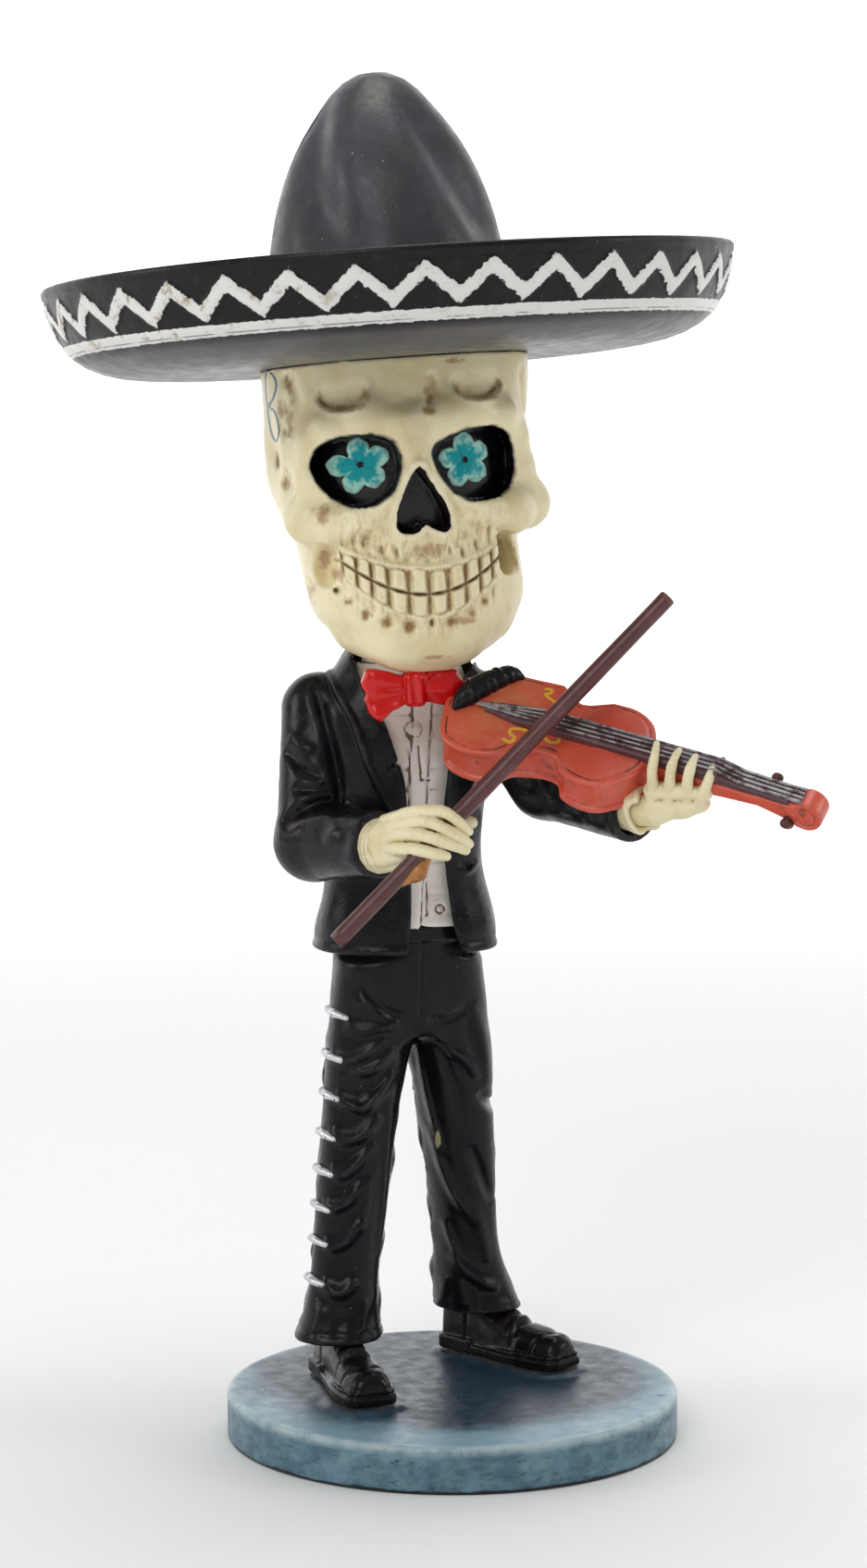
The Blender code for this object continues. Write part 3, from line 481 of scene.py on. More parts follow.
def piece(name, points, faces, look, slot, nodes, place=None, fine=4, broad=30, **values):
    """A mesh in the row's frame, with its relief and its paint values, that stands for CAD nodes."""
    mesh = bpy.data.meshes.new(name)
    mesh.from_pydata(points.tolist(), [], faces)
    mesh.shade_smooth()
    normals = np.empty(len(points) * 3, np.float32)
    mesh.vertex_normals.foreach_get("vector", normals)
    normals = normals.reshape(-1, 3)
    proud = swellings(points, faces, normals, fine)
    values = dict(values, proud=proud, sunk=-swellings(points, faces, normals, broad))
    for key, value in values.items():
        attribute = mesh.attributes.new(key, "FLOAT", "POINT")
        attribute.data.foreach_set("value", np.asarray(value, np.float32))
    mesh.transform(TO_ROW @ (place or Matrix.Identity(4)))
    mesh.materials.append(look)
    made = bpy.data.objects.new(name, mesh)
    bpy.context.scene.collection.objects.link(made)
    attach(made, "root")
    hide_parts(*nodes)
    return made


def lathe(profile, segments):
    """Points and squares turned about Z from a profile of radius and height, closed on the axis."""
    angles = np.arange(segments) * math.tau / segments
    points, rings = [], []
    for radius, height in profile:
        if radius < 1e-6:
            rings.append([len(points)] * segments)
            points.append((0.0, 0.0, height))
            continue
        rings.append(list(range(len(points), len(points) + segments)))
        points += [(radius * math.cos(a), radius * math.sin(a), height) for a in angles]
    quads = []
    for low, high in zip(rings, rings[1:]):
        for i in range(segments):
            j = (i + 1) % segments
            quads.append((low[i], high[i], high[j], low[j]))
    return np.array(points), quads


# Paint


class Paint:
    """A painted finish, built up in layers from the values that the mesh carries."""

    def __init__(self, name, colour, roughness, coat=0.0):
        self.material = bpy.data.materials.new(name)
        self.material.use_nodes = True
        self.tree = self.material.node_tree
        self.shader = self.tree.nodes["Principled BSDF"]
        self.shader.inputs["Coat Weight"].default_value = coat
        self.shader.inputs["Coat Roughness"].default_value = 0.12
        self.shader.inputs["Roughness"].default_value = roughness
        self.place = self.node("ShaderNodeTexCoord").outputs["Object"]
        self.colour = self.node("ShaderNodeRGB").outputs[0]
        self.colour.default_value = (*colour, 1.0)
        self.tree.links.new(self.colour, self.shader.inputs["Base Color"])

    def node(self, kind, **inputs):
        made = self.tree.nodes.new(kind)
        for key, value in inputs.items():
            self.feed(value, made.inputs[key])
        return made

    def feed(self, value, socket):
        if isinstance(value, bpy.types.NodeSocket):
            self.tree.links.new(value, socket)
        else:
            socket.default_value = value

    def value(self, name):
        """A value that the mesh carries."""
        made = self.node("ShaderNodeAttribute")
        made.attribute_name = name
        return made.outputs["Fac"]

    def math(self, operation, a, b=0.0):
        made = self.tree.nodes.new("ShaderNodeMath")
        made.operation = operation
        self.feed(a, made.inputs[0])
        self.feed(b, made.inputs[1])
        return made.outputs[0]

    def times(self, a, b):
        return self.math("MULTIPLY", a, b)

    def plus(self, a, b):
        return self.math("ADD", a, b)

    def most(self, a, b):
        return self.math("MAXIMUM", a, b)

    def step(self, value, low, high, bottom=0.0, top=1.0):
        """A smooth step from bottom to top as the value goes from low to high."""
        made = self.node("ShaderNodeMapRange")
        made.interpolation_type = "SMOOTHSTEP"
        self.feed(value, made.inputs["Value"])
        for key, number in (("From Min", low), ("From Max", high), ("To Min", bottom), ("To Max", top)):
            made.inputs[key].default_value = number
        return made.outputs[0]

    def noise(self, size, detail=4.0, roughness=0.6, stretch=None):
        """Clouds whose blobs are about size millimetres across."""
        place = self.place
        if stretch:
            scaled = self.node("ShaderNodeVectorMath")
            scaled.operation = "MULTIPLY"
            self.feed(place, scaled.inputs[0])
            scaled.inputs[1].default_value = stretch
            place = scaled.outputs[0]
        made = self.node(
            "ShaderNodeTexNoise", Vector=place, Scale=1.0 / (size * MM), Detail=detail, Roughness=roughness,
        )
        return made.outputs["Fac"]

    def ragged(self, name, scale, reach):
        """A value that the mesh carries, made uneven by up to the reach, as a brush leaves an edge."""
        return self.plus(self.value(name), self.step(self.noise(scale), 0.3, 0.7, -reach, reach))

    def layer(self, colour, share):
        """Paint of that colour over what is there, where share is 1."""
        made = self.tree.nodes.new("ShaderNodeMix")
        made.data_type = "RGBA"
        self.feed(share, made.inputs["Factor"])
        self.feed(self.colour, made.inputs[6])
        self.feed((*colour, 1.0), made.inputs[7])
        self.colour = made.outputs[2]
        self.tree.links.new(self.colour, self.shader.inputs["Base Color"])
        return self

    def gloss(self, value):
        """Roughness worked out from a value."""
        self.tree.links.new(value, self.shader.inputs["Roughness"])
        return self

    def relief(self, height, depth):
        """Fine unevenness, with its full depth in millimetres."""
        made = self.node("ShaderNodeBump", Height=height)
        made.inputs["Distance"].default_value = depth * MM
        made.inputs["Strength"].default_value = 1.0
        self.tree.links.new(made.outputs[0], self.shader.inputs["Normal"])
        return self

    def line(self, name, half_width, soft=0.05):
        """1 on the thin line where a carried distance is 0."""
        return self.step(self.math("ABSOLUTE", self.value(name)), half_width, half_width + soft, 1.0, 0.0)


def bone_paint(name):
    """Ivory paint, paler on what stands proud as a painted highlight, with a brown wash in the hollows that
    is partly painted shade.
    """
    paint = Paint(name, (0.80, 0.715, 0.45), 0.38, 0.15)
    clouds = paint.noise(5.0)
    paint.layer((0.68, 0.55, 0.29), paint.step(clouds, 0.40, 0.70, 0.0, 0.75))
    # Painted highlight: a paler ivory on what stands proud.
    paint.layer((0.84, 0.78, 0.58), paint.step(paint.value("proud"), 0.004, 0.05, 0.0, 0.6))
    uneven = paint.step(paint.noise(1.6), 0.3, 0.65, 0.55, 1.0)
    # A brown wash in the broad hollows, partly painted shade.
    broad = paint.step(paint.value("sunk"), 0.04, 0.50, 0.0, 0.72)
    paint.layer((0.42, 0.27, 0.12), paint.times(broad, uneven))
    # Dark brown in the fine creases, partly wash and partly painted shade.
    fine = paint.step(paint.value("proud"), -0.015, -0.10, 0.0, 0.85)
    paint.layer((0.26, 0.15, 0.065), paint.times(fine, uneven))
    paint.relief(paint.noise(0.7, 3.0), 0.06)
    return paint


def black_paint(name, colour=(0.0055, 0.0058, 0.007), roughness=0.29):
    """Semi-gloss black, greyed a little on what stands proud as wear and painted highlight, and reddish in
    some hollows.
    """
    paint = Paint(name, colour, roughness, 0.0)
    paint.shader.inputs["Specular IOR Level"].default_value = 0.19
    # Wear and painted highlight: a lighter grey in patches on what stands proud.
    worn = paint.times(
        paint.step(paint.value("proud"), 0.01, 0.09), paint.step(paint.noise(3.0), 0.4, 0.65),
    )
    paint.layer((0.020, 0.022, 0.026), worn)
    tint = paint.times(
        paint.step(paint.value("sunk"), 0.05, 0.35), paint.step(paint.noise(4.0, 2.0), 0.52, 0.68),
    )
    paint.layer((0.028, 0.010, 0.007), paint.times(tint, 0.6))
    specks = paint.step(paint.noise(0.45, 1.0), 0.80, 0.83)
    paint.layer((0.4, 0.4, 0.4), specks)
    paint.gloss(paint.step(paint.noise(2.5), 0.3, 0.7, roughness - 0.10, roughness + 0.08))
    paint.relief(paint.noise(0.9, 3.0), 0.05)
    return paint


# Base


def sole_distance(u, v, heel, toe, grow=0.0):
    """Distance in the plane to a shoe's sole: a rounded oblong, wider at its squared toe."""
    heel, toe = np.array(heel), np.array(toe)
    along = (toe - heel) / np.linalg.norm(toe - heel)
    half_length = np.linalg.norm(toe - heel) / 2
    du, dv = u - (heel + toe)[0] / 2, v - (heel + toe)[1] / 2
    forward, side = du * along[0] + dv * along[1], dv * along[0] - du * along[1]
    half_width = 2.75 + 0.95 * grade(-4.0, 5.0, forward) - 0.5 * grade(6.0, 10.0, forward) + grow
    corner = 1.6
    a = np.abs(forward) - (half_length + grow - corner)
    b = np.abs(side) - (half_width - corner)
    return np.hypot(np.maximum(a, 0.0), np.maximum(b, 0.0)) + np.minimum(np.maximum(a, b), 0.0) - corner


def base_paint():
    paint = Paint("base_blue", (0.014, 0.036, 0.060), 0.36)
    paint.shader.inputs["Specular IOR Level"].default_value = 0.35
    rim = paint.step(paint.ragged("reach", 9.0, 2.0), 21.5, 32.0)
    paint.layer((0.20, 0.34, 0.42), rim)
    paint.layer(
        (0.060, 0.135, 0.185),
        paint.times(paint.value("side"), paint.step(paint.noise(3.5), 0.3, 0.6, 0.5, 1.0)),
    )
    streaks = paint.step(paint.noise(2.4, 4.0, 0.6, (0.5, 0.5, 1.2)), 0.40, 0.80)
    paint.layer((0.17, 0.30, 0.35), paint.times(paint.value("side"), streaks))
    mottle = paint.step(paint.noise(1.1, 6.0, 0.75, (0.5, 0.5, 1.2)), 0.52, 0.74)
    paint.layer((0.022, 0.050, 0.065), paint.times(paint.value("side"), mottle))
    dust = paint.step(paint.ragged("mound", 1.6, 0.7), 1.3, -0.2)
    paint.layer((0.075, 0.068, 0.06), dust)
    edge = paint.times(paint.line("edge", 0.05, 1.3), paint.step(paint.noise(2.6), 0.3, 0.6, 0.3, 0.8))
    paint.layer((0.44, 0.54, 0.55), edge)
    foot = paint.step(paint.ragged("rise", 3.0, 0.12), 0.62, 0.42)
    paint.layer((0.012, 0.014, 0.017), foot)
    scratch = paint.step(paint.noise(0.5, 2.0, 0.5), 0.77, 0.80)
    paint.layer((0.02, 0.02, 0.025), scratch)
    paint.layer((0.10, 0.05, 0.36), paint.step(paint.value("mark"), 0.75, 0.35))
    paint.gloss(paint.step(paint.noise(2.2), 0.3, 0.7, 0.28, 0.46))
    paint.relief(paint.noise(0.8, 4.0), 0.06)
    return paint


def make_base():
    """A turned disc with a mound of ground under each shoe."""
    edge, foot = 0.7, 0.4
    profile = [(0.0, BASE_HEIGHT)]
    profile += [(radius, BASE_HEIGHT) for radius in np.arange(0.5, BASE_RADIUS - edge, 0.65 * COARSER)]
    corner = np.linspace(0.0, math.pi / 2, 7)
    profile += [
        (BASE_RADIUS - edge + edge * math.sin(a), BASE_HEIGHT - edge + edge * math.cos(a)) for a in corner
    ]
    profile += [(BASE_RADIUS, height) for height in np.linspace(BASE_HEIGHT - edge - 0.3, foot, 14)[:-1]]
    profile += [
        (
            BASE_RADIUS - foot + foot * math.cos(a), foot - foot * math.sin(a),
        ) for a in np.linspace(0, math.pi / 2, 4)
    ]
    profile += [(BASE_RADIUS / 2, 0.0), (0.0, 0.0)]
    points, quads = lathe(profile, int(360 / COARSER))
    x, y, z = points.T
    mound = np.minimum(sole_distance(x, y, *RIGHT_SHOE), sole_distance(x, y, *LEFT_SHOE))
    top = z > BASE_HEIGHT - 0.05
    wave = ripple(points.T, 0.9, 3)
    z = z + np.where(top, 0.5 * grade(1.9 + 0.5 * wave, 0.6, mound), 0.0)
    rim = np.hypot(x, y)
    z = z + np.where(top, 0.07 * ripple(points.T, 0.35, 5) * grade(30.0, 26.0, rim), 0.0)
    points = np.stack((x, y, z), 1)
    mark = np.hypot(x - 27.6, y + 5.2)
    paint = base_paint()
    piece(
        "round_base", points, merged(quads), paint.material, "base_paint", ["base"],
        reach=rim - 0.25 * y, side=grade(BASE_HEIGHT - 0.1, BASE_HEIGHT - 0.7, z), mound=mound,
        edge=np.hypot(rim - BASE_RADIUS + 0.2, z - BASE_HEIGHT + 0.2), rise=z, mark=mark,
    )


def merged(quads):
    """Squares that have met on the axis become triangles."""
    return [list(dict.fromkeys(quad)) for quad in quads]


# Trousers, shoes and buttons


# Folds seen from the front: points (x, height), width, height of the fold, steepness of its left side.
RIGHT_LEG_FOLDS = (
    (((-16.4, 50.9), (-14.6, 50.2), (-11.8, 50.9), (-8.4, 53.1)), 1.0, 0.42, 1.3),
    (((-13.6, 49.2), (-11.6, 48.7), (-9.6, 49.6), (-7.4, 52.0)), 1.0, 0.45, 1.2),
    (((-16.2, 45.6), (-13.8, 44.4), (-11.6, 43.9), (-9.4, 45.8), (-7.4, 48.9)), 1.1, 0.62, 1.4),
    (((-12.8, 46.6), (-10.1, 47.0), (-8.2, 49.6)), 0.7, -0.38, 0.0),
    (((-16.6, 40.4), (-14.0, 39.6), (-11.4, 40.5), (-9.2, 43.0)), 1.2, 0.55, 1.3),
    (((-16.8, 35.6), (-14.8, 35.0), (-12.4, 36.4), (-10.0, 39.5)), 1.2, 0.5, 1.3),
    (((-17.4, 31.0), (-15.6, 30.6), (-13.2, 32.0), (-11.4, 34.6)), 1.1, 0.5, 1.2),
    (((-17.6, 26.0), (-15.8, 25.4), (-13.6, 26.5), (-11.6, 29.2)), 1.1, 0.5, 1.2),
    (((-17.8, 20.8), (-15.8, 19.5), (-14.0, 19.6), (-12.4, 21.4)), 1.2, 0.6, 1.3),
    (((-12.0, 14.0), (-11.5, 16.4), (-10.8, 18.6)), 0.9, 0.42, 0.6),
    (((-15.4, 13.4), (-15.0, 15.6), (-14.6, 17.6)), 1.1, -0.3, 0.0),
    (((-18.6, 13.4), (-18.0, 15.8), (-17.3, 18.0)), 1.1, 0.35, 0.0),
    (((-8.3, 45.0), (-8.9, 35.0), (-9.5, 28.0), (-10.0, 23.5)), 0.9, 0.32, 1.0),
    (((-10.8, 35.0), (-11.3, 31.0), (-11.9, 27.6)), 0.8, 0.28, -1.0),
    (((-12.3, 60.8), (-10.4, 58.2), (-8.2, 56.6), (-6.4, 55.9)), 0.8, -0.42, 0.8),
    (((-13.0, 57.8), (-11.2, 58.2), (-8.7, 55.8)), 0.9, 0.3, 0.0),
    (((-14.4, 54.6), (-11.8, 54.2), (-9.0, 54.6), (-6.8, 54.9)), 1.0, 0.35, 1.2),
)
LEFT_LEG_FOLDS = (
    (((-3.4, 55.4), (-1.2, 55.0), (0.6, 55.6), (2.6, 57.2)), 0.9, -0.42, 0.8),
    (((-3.2, 54.0), (-1.0, 51.2), (1.6, 49.2), (3.4, 46.4)), 1.0, 0.45, 1.0),
    (((-2.2, 52.2), (-0.6, 48.4), (0.8, 44.0), (1.6, 39.0)), 0.9, -0.35, 0.0),
    (((-4.9, 51.8), (-4.0, 46.0), (-2.8, 40.6), (-1.3, 35.6)), 0.7, 0.45, 0.6),
    (((-3.6, 40.0), (-2.4, 36.0), (-1.4, 33.0), (0.3, 29.6), (3.1, 26.0)), 0.9, 0.48, 1.2),
    (((-1.4, 26.6), (-0.6, 24.2), (0.8, 20.8)), 0.8, 0.35, 1.0),
    (((-0.6, 21.6), (1.4, 19.6), (3.9, 17.8), (6.4, 16.8)), 0.9, 0.45, 1.2),
    (((2.3, 57.4), (3.5, 53.6), (4.3, 50.0), (4.6, 45.0)), 1.1, 0.4, 1.0),
    (((1.6, 55.0), (2.4, 51.8), (3.2, 49.0)), 0.7, -0.3, 0.0),
    (((3.2, 44.4), (4.6, 42.6), (5.8, 41.6)), 0.9, -0.55, 1.2),
    (((2.2, 37.2), (3.2, 34.2), (4.2, 31.0), (5.2, 28.6)), 1.0, -0.45, 1.2),
    (((3.0, 30.0), (4.4, 25.0), (5.2, 20.6)), 1.0, 0.35, -0.8),
    (((-1.8, 14.2), (-1.3, 16.4), (-1.0, 18.6)), 0.9, 0.35, 0.0),
    (((3.8, 14.4), (3.2, 16.6), (2.4, 19.0)), 1.0, -0.35, 0.0),
)


def leg_folds(p):
    """Carved folds on the front, softer drapes behind."""
    x, y, z = p
    left = x > -5.6 + 0.06 * (z - 40.0)
    centre = np.where(left, rows_at(LEFT_LEG, z)[1], rows_at(RIGHT_LEG, z)[1])
    middle = np.where(left, rows_at(LEFT_LEG, z)[0], rows_at(RIGHT_LEG, z)[0])
    front = grade(2.0, -1.5, y - centre)
    made = np.where(left, folds(x, z, LEFT_LEG_FOLDS), folds(x, z, RIGHT_LEG_FOLDS)) * front
    angle = np.arctan2(y - centre, x - middle)
    drape = np.sin(0.55 * z + np.where(left, 1.7, -1.7) * angle + 1.1 * np.sin(0.17 * z + 2.0))
    drape = np.maximum(drape, -0.2) ** 2 * 0.45 + 0.12 * np.sin(1.1 * z - 2.2 * angle)
    below = grade(60.0, 53.0, z) * grade(12.5, 17.0, z)
    return made + drape * (1.0 - front) * below + 0.05 * ripple(p, 1.1, 11)


def trousers_field(p):
    x, y, z = p
    right = stack(p, RIGHT_LEG, RIGHT_LEG_TURN)
    left = stack(p, LEFT_LEG, LEFT_LEG_TURN)
    legs = join(right, left, 1.2)
    body = join(legs, stack(p, HIPS, HIP_TURN), 2.2)
    fly, _, _ = trace(x, z, np.array(((-3.9, 66.0), (-4.15, 56.2))))
    body = body + 0.35 * hump(fly, 0.45) * (y < 4.0)
    belt = 0.35 * grade(65.9, 66.2, z) * grade(69.0, 67.9, z)
    hem = 0.22 * hump(z - 14.3, 0.4)
    return body - leg_folds(p) - belt + 0.6 * hem


BAR_HEIGHTS = (56.3, 50.7, 45.5, 40.2, 35.4, 30.7, 26.1, 20.9)


def bars_field(p):
    """Silver bars in pairs of beads down the outer side of the right leg."""
    made = np.full(p.shape[1], 9.0, np.float32)
    for z in BAR_HEIGHTS:
        centre = rows_at(RIGHT_LEG, np.array([z]))
        middle_x, middle_y, half_width, half_depth = (float(v[0]) for v in centre)
        for first, second in ((198.0, 217.0), (214.0, 236.0)):
            ends = []
            for degrees in (first, second):
                angle = math.radians(degrees)
                drop = (degrees - 200.0) * 0.012
                ends.append((
                    middle_x + (half_width + 0.5) * math.cos(angle),
                    middle_y + (half_depth + 0.45) * math.sin(angle),
                    z + 0.3 - drop,
                ))
            made = join(made, rod(p, *ends, 0.58, 0.44), 0.25)
    return made - 0.16 * ripple(p, 3.0, 21)


def make_trousers():
    paint = black_paint("trousers_black")
    points, quads = sculpt(trousers_field, (-23, -8, 12), (12, 24, 70), GRAIN["trousers"])
    x, z = points[:, 0], points[:, 2]
    chip = np.hypot((x + 1.9) / 0.5, (z - 37.9) / 1.6)
    chip = np.where(points[:, 1] < 12.0, chip, 9.0)
    paint.layer((0.36, 0.31, 0.17), paint.step(paint.plus(paint.value("chip"), paint.noise(1.0)), 1.4, 1.1))
    piece("trousers", points, quads, paint.material, "suit_paint", ["figure"], chip=chip)
    silver = Paint("silver_bars", (0.62, 0.63, 0.65), 0.28)
    silver.shader.inputs["Metallic"].default_value = 0.6
    silver.layer((0.03, 0.03, 0.03), silver.step(silver.noise(0.9), 0.60, 0.68))
    silver.relief(silver.noise(0.6, 3.0), 0.08)
    points, quads = sculpt(bars_field, (-23, -9, 18), (-10, 4, 59), GRAIN["silver_bars"])
    piece("silver_bars", points, quads, silver.material, "silver_paint", ["figure"])


def shoe_field(p, heel, toe):
    """A laced dress shoe: sole with a welt, heel block, upper, toe cap and lace bars."""
    heel, toe = np.array(heel), np.array(toe)
    length = np.linalg.norm(toe - heel)
    along = (toe - heel) / length
    du, dv = p[0] - heel[0], p[1] - heel[1]
    forward = (du * along[0] + dv * along[1]) / length
    side = dv * along[0] - du * along[1]
    up = p[2] - SOLE_LEVEL
    edge = sole_distance(p[0], p[1], heel, toe, 0.25)
    thick = np.where(forward < 0.3, 1.9, 1.15)
    sole = within(edge, np.maximum(-up, up - thick), 0.25)
    waist = within(edge + 0.45, np.maximum(-up, up - 1.6), 0.3)
    height = np.interp(
        forward, (0.0, 0.1, 0.3, 0.42, 0.55, 0.68, 0.8, 0.93, 1.0),
        (7.6, 8.2, 8.0, 7.2, 5.9, 4.9, 4.5, 4.0, 3.0),
    )
    half = np.interp(forward, (0.0, 0.1, 0.35, 0.6, 0.8, 0.95, 1.0), (2.4, 2.8, 2.9, 3.1, 3.3, 2.9, 2.2))
    curve = (np.abs(side / half) ** 2.6 + np.abs(np.maximum(up, 0.0) / height) ** 2.2) ** 0.42
    spread = np.hypot(side, up) * (1.0 - 1.0 / np.maximum(curve, 0.05))
    upper = within(within(spread * 0.85, edge + 0.5, 0.8), -up, 0.3)
    body = join(join(sole, waist, 0.15), upper, 0.25)
    cap = 0.22 * grade(0.685, 0.70, forward + 0.02 * (side / 3.0) ** 2) * (up > 1.4)
    centre = np.exp(-((side / 1.7) ** 4))
    bars = sum(hump(forward - k, 0.035) for k in (0.47, 0.545, 0.62)) * centre * (up > 2.5)
    counter = 0.2 * hump(forward - 0.24, 0.03) * (up > 1.8)
    crease = 0.14 * hump(forward - 0.655 - 0.02 * np.cos(side), 0.02) * (up > 2.0)
    toe_crease = 0.12 * hump(forward - 0.9 + 0.03 * np.abs(side), 0.03) * (up > 2.0)
    return body - cap - 0.42 * bars + counter + crease + toe_crease - 0.06 * ripple(p, 1.6, 31)


def make_shoes():
    paint = black_paint("shoe_black", (0.006, 0.006, 0.0065), 0.22)
    paint.layer(
        (0.024, 0.020, 0.018), paint.times(paint.value("dust"), paint.step(paint.noise(1.4), 0.35, 0.62)),
    )
    for name, (heel, toe) in (("right_shoe", RIGHT_SHOE), ("left_shoe", LEFT_SHOE)):
        low = np.minimum(heel, toe) - 5.0
        high = np.maximum(heel, toe) + 5.0
        points, quads = sculpt(
            lambda p: shoe_field(p, heel, toe), (*low, SOLE_LEVEL - 1), (*high, SOLE_LEVEL + 9.5),
            GRAIN["shoe"],
        )
        length = math.dist(heel, toe)
        forward = (
            (points[:, 0] - heel[0]) * (toe[0] - heel[0]) + (points[:, 1] - heel[1]) * (toe[1] - heel[1])
        ) / length ** 2
        dust = grade(0.69, 0.62, forward) * grade(1.2, 2.0, points[:, 2] - SOLE_LEVEL)
        piece(name, points, quads, paint.material, "suit_paint", ["figure"], dust=dust)


# Jacket, shirt and tie


JACKET_FOLDS = (
    (((-18.8, 100.4), (-17.7, 97.4), (-16.3, 92.7), (-15.4, 88.3), (-14.9, 83.8)), 1.1, -0.75, 0.9),
    (((-22.1, 91.2), (-19.8, 89.0), (-17.3, 87.6)), 1.1, -0.5, 1.2),
    (((-21.6, 93.2), (-19.8, 91.8), (-18.2, 91.4)), 1.2, 0.3, 0.8),
    (((-20.8, 86.8), (-18.4, 86.8), (-15.9, 87.3)), 0.9, -0.45, -1.2),
    (((-22.0, 81.4), (-19.6, 83.4), (-17.0, 84.6), (-14.4, 84.3)), 1.1, -0.8, 1.2),
    (((-16.4, 80.4), (-15.4, 81.8), (-14.8, 82.8)), 0.9, 0.28, 0.6),
    (((-13.6, 78.0), (-12.8, 80.2), (-12.6, 82.2)), 0.9, 0.22, 0.6),
    (((-15.2, 99.2), (-14.2, 97.2), (-13.4, 95.0)), 0.6, 0.25, 0.6),
    (((3.8, 83.4), (4.2, 79.6), (4.3, 75.6)), 0.9, 0.35, 1.0),
    (((0.8, 75.3), (2.2, 74.9), (3.8, 76.5)), 0.5, 0.4, 1.4),
    (((0.9, 76.2), (2.2, 75.8)), 0.5, -0.35, 0.0),
)
LEFT_SLEEVE_FOLDS = (
    (((8.2, 92.0), (10.4, 89.4), (11.4, 86.0)), 1.2, 0.5, 1.2),
    (((12.8, 89.0), (14.0, 86.6), (14.2, 84.0)), 1.1, 0.4, 1.2),
    (((16.0, 87.2), (17.0, 84.8), (17.2, 82.8)), 1.0, 0.35, 1.0),
    (((19.0, 86.4), (19.8, 84.2), (19.8, 81.8)), 0.9, 0.35, 1.0),
)


def front_edges(z):
    return rows_at(FRONT_EDGES, z)


def sleeves(p):
    right = chain(p, (RIGHT_SHOULDER, RIGHT_ELBOW), (SLEEVE_RADIUS, SLEEVE_RADIUS), 1.0)
    elbow, wrist = np.array(RIGHT_ELBOW), np.array(RIGHT_WRIST)
    right = join(right, tube(p, elbow, wrist, SLEEVE_RADIUS, 4.35), 1.6)
    left = rod(p, LEFT_SHOULDER, LEFT_ELBOW, SLEEVE_RADIUS, 4.8)
    elbow, wrist = np.array(LEFT_ELBOW), np.array(LEFT_WRIST)
    left = join(left, tube(p, elbow, wrist, 4.8, 4.3, 1.0), 1.6)
    return right, left


def tube(p, start, end, start_radius, end_radius, hollow=0.9):
    """A sleeve: a tapered rod, cut square and hollowed at its end."""
    body = rod(p, start, end, start_radius, end_radius)
    along = (end - start) / np.linalg.norm(end - start)
    past = ((p - column(end)) * column(along)).sum(0)
    body = within(body, past, 0.5)
    inner = rod(p, end - along * 1.2, end + along * 4.0, end_radius - hollow, end_radius - hollow)
    return cut(body, inner, 0.3)


def jacket_field(p):
    x, y, z = p
    torso = stack(p, JACKET, CHEST_TURN, 2.3)
    left, right = front_edges(z)
    outside = np.maximum(left - x, x - right)
    front = grade(7.0, 5.0, y)
    open_front = within(outside, y - 6.0, 0.2)
    high = grade(77.0, 82.0, z)
    lapel_width = 3.9 * grade(78.0, 90.0, z) + 0.6
    lapel = high * grade(lapel_width + 0.25, lapel_width - 0.15, outside) * front * grade(105.5, 103.5, z)
    roll = 0.35 * hump(outside - lapel_width + 0.5, 0.7) * high * front
    hem = 0.25 * grade(66.0, 65.0, z)
    torso = torso - 0.75 * lapel - roll * lapel - hem
    torso = cut(torso, open_front, 0.25)
    inner = stack(p, [(h, cx, cy, w - 1.5, d - 1.5) for h, cx, cy, w, d in JACKET], CHEST_TURN, 2.3)
    torso = np.maximum(torso, -np.maximum(inner, z - 69.0))
    neck = rod(p, (-6.0, 5.2, 100.0), (-6.2, 5.2, 112.0), 6.0, 6.0)
    torso = cut(torso, np.maximum(neck, 103.2 - z), 0.4)
    collar = ball(p, (-6.1, 6.4, 103.6), (8.2, 7.6, 3.2))
    collar = within(collar, -rod(p, (-6.0, 5.4, 98.0), (-6.2, 5.4, 112.0), 6.4, 6.4), 0.4)
    collar = cut(collar, open_front, 0.3)
    notch_line = np.abs((z - 89.9) - 0.35 * (x + 7.4))
    notch = 0.8 * hump(notch_line, 0.35) * (outside < 1.6) * (outside > -0.3) * (x < -5.0) * front
    right_arm, left_arm = sleeves(p)
    body = join(join(torso, collar, 0.8), right_arm, 1.3)
    body = join(body, left_arm, 1.5)
    facing = grade(3.0, -1.0, y - 4.0)
    carved = folds(x, z, JACKET_FOLDS) * grade(6.0, 2.0, y) + folds(x, z, LEFT_SLEEVE_FOLDS) * (x > 6.0)
    behind = 0.3 * np.sin(
        0.5 * z + 0.4 * x + 1.2 * np.sin(0.3 * x)
    ) * (1.0 - facing) * grade(101.0, 96.0, z)
    seam = 0.3 * hump(x + 6.0 - 0.25 * (y - 14.0), 0.4) * (y > 8.0) * (z < 101.0)
    return body - carved - 0.5 * behind + notch + seam - 0.05 * ripple(p, 1.0, 41)


